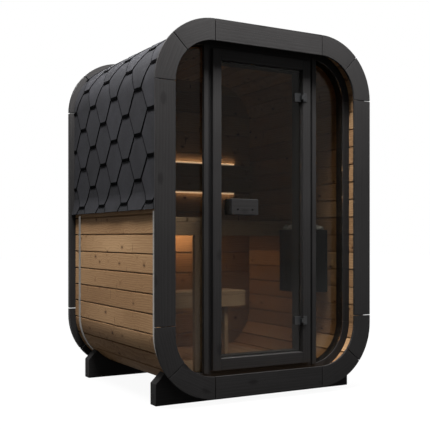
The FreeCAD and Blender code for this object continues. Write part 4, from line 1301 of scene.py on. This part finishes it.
# The room above the floor is dimmer in mirrors than to the eye, as a studio with dark walls is,
# and it gives the cabin a little even light
MIRRORED, EVEN_LIGHT = 0.4, 0.12
share = add(tree, "Value").outputs["Value"]
share.default_value = MIRRORED
level = add(tree, "MapRange", {"Value": seen(tree, share)}, {"To Min": EVEN_LIGHT,
            "To Max": 1.0}).outputs["Result"]
tree.links.new(level, tree.nodes["Background"].inputs["Strength"])
tree.nodes["Background"].inputs["Color"].default_value = (1, 1, 1, 1)
print("world:", world.name)

# %% [markdown]
# ## Camera
# The camera was fitted to the joints and edges of the rings. It stands level, a little under
# eye height, and looks from the front left; a small upward shift frames the cabin.

# %% Camera
camera = bpy.data.cameras.new("photo_camera")
camera.lens, camera.sensor_width = 66.87, 36
camera.shift_y = 0.0541
bpy.context.scene.view_settings.view_transform = "Standard"
viewer = bpy.data.objects.new("photo_camera", camera)
viewer.location = (-2.6007, -4.6253, 0.9441)
viewer.rotation_euler = (math.radians(90), 0, math.radians(-29.56))
bpy.context.scene.collection.objects.link(viewer)
bpy.context.scene.camera = viewer
print(f"camera: {camera.lens} mm lens, {viewer.location.length:.2f} m from the cabin's foot")

# %% [markdown]
# ## Lights
# A long soft light high on the left grazes the wood wall, and a strong one high in front
# lights the top of the ring more than its foot and reaches through the glass into the room.
# A faint fill stands near the camera, and two more soft lights serve the right side and the
# back. Inside, warm lamps stand for the light strips at the backrest and the one under the
# upper bench. No lamp shows to the camera or through the glass, and the warm ones don't mirror.

# %% Studio lights


def soft_light(name, place, target, size, watts, tint="#ffffff", mirrored_too=True):
    """An area lamp in metres that looks at its target."""
    lamp = bpy.data.lights.new(name, "AREA")
    lamp.shape = "RECTANGLE"
    lamp.size, lamp.size_y = size
    lamp.energy = watts
    lamp.color = colour(tint)[:3]
    stand = bpy.data.objects.new(name, lamp)
    stand.location = place
    stand.rotation_euler = (Vector(target) - Vector(place)).to_track_quat("-Z", "Y").to_euler()
    bpy.context.scene.collection.objects.link(stand)
    stand.visible_camera = stand.visible_transmission = False
    stand.visible_glossy = mirrored_too
    return stand


# Each row: where the lamp stands, what it looks at, its size and its watts
for name, place, target, size, watts in (
    ("left_softbox", (-1.46, -0.4, 3.7), (-0.7, 0, 1.0), (2.0, 0.4), 245),
    ("high_front_softbox", (0.2, -1.7, 4.4), (0.1, -0.7, 1.4), (2.6, 0.8), 440),
    ("front_fill", (-1.6, -4.6, 2.2), (0, -0.5, 1.0), (2.0, 1.6), 10),
    ("right_softbox", (2.9, 0.4, 3.0), (0.7, 0, 1.0), (1.8, 1.4), 75),
    ("back_softbox", (0.4, 3.4, 2.8), (0, 0.7, 1.0), (1.8, 1.4), 75),
):
    soft_light(name, place, target, size, watts)

# %% Light strips
WARM, AMBER = "#ffe0c4", "#ffd8b4"
for name, place, target, size, watts, tint in (
    ("upper_strip", (-0.07, 0.59, 1.512), (-0.07, 0.612, 1.534), (1.2, 0.01), 0.36, WARM),
    ("lower_strip", (-0.07, 0.59, 1.276), (-0.07, 0.612, 1.254), (1.2, 0.01), 0.27, WARM),
    ("under_bench_strip", (0.0, 0.5, 1.03), (0.0, 0.56, 0.3), (0.45, 0.05), 4.3, AMBER),
):
    soft_light(name, place, target, size, watts, tint, mirrored_too=False)
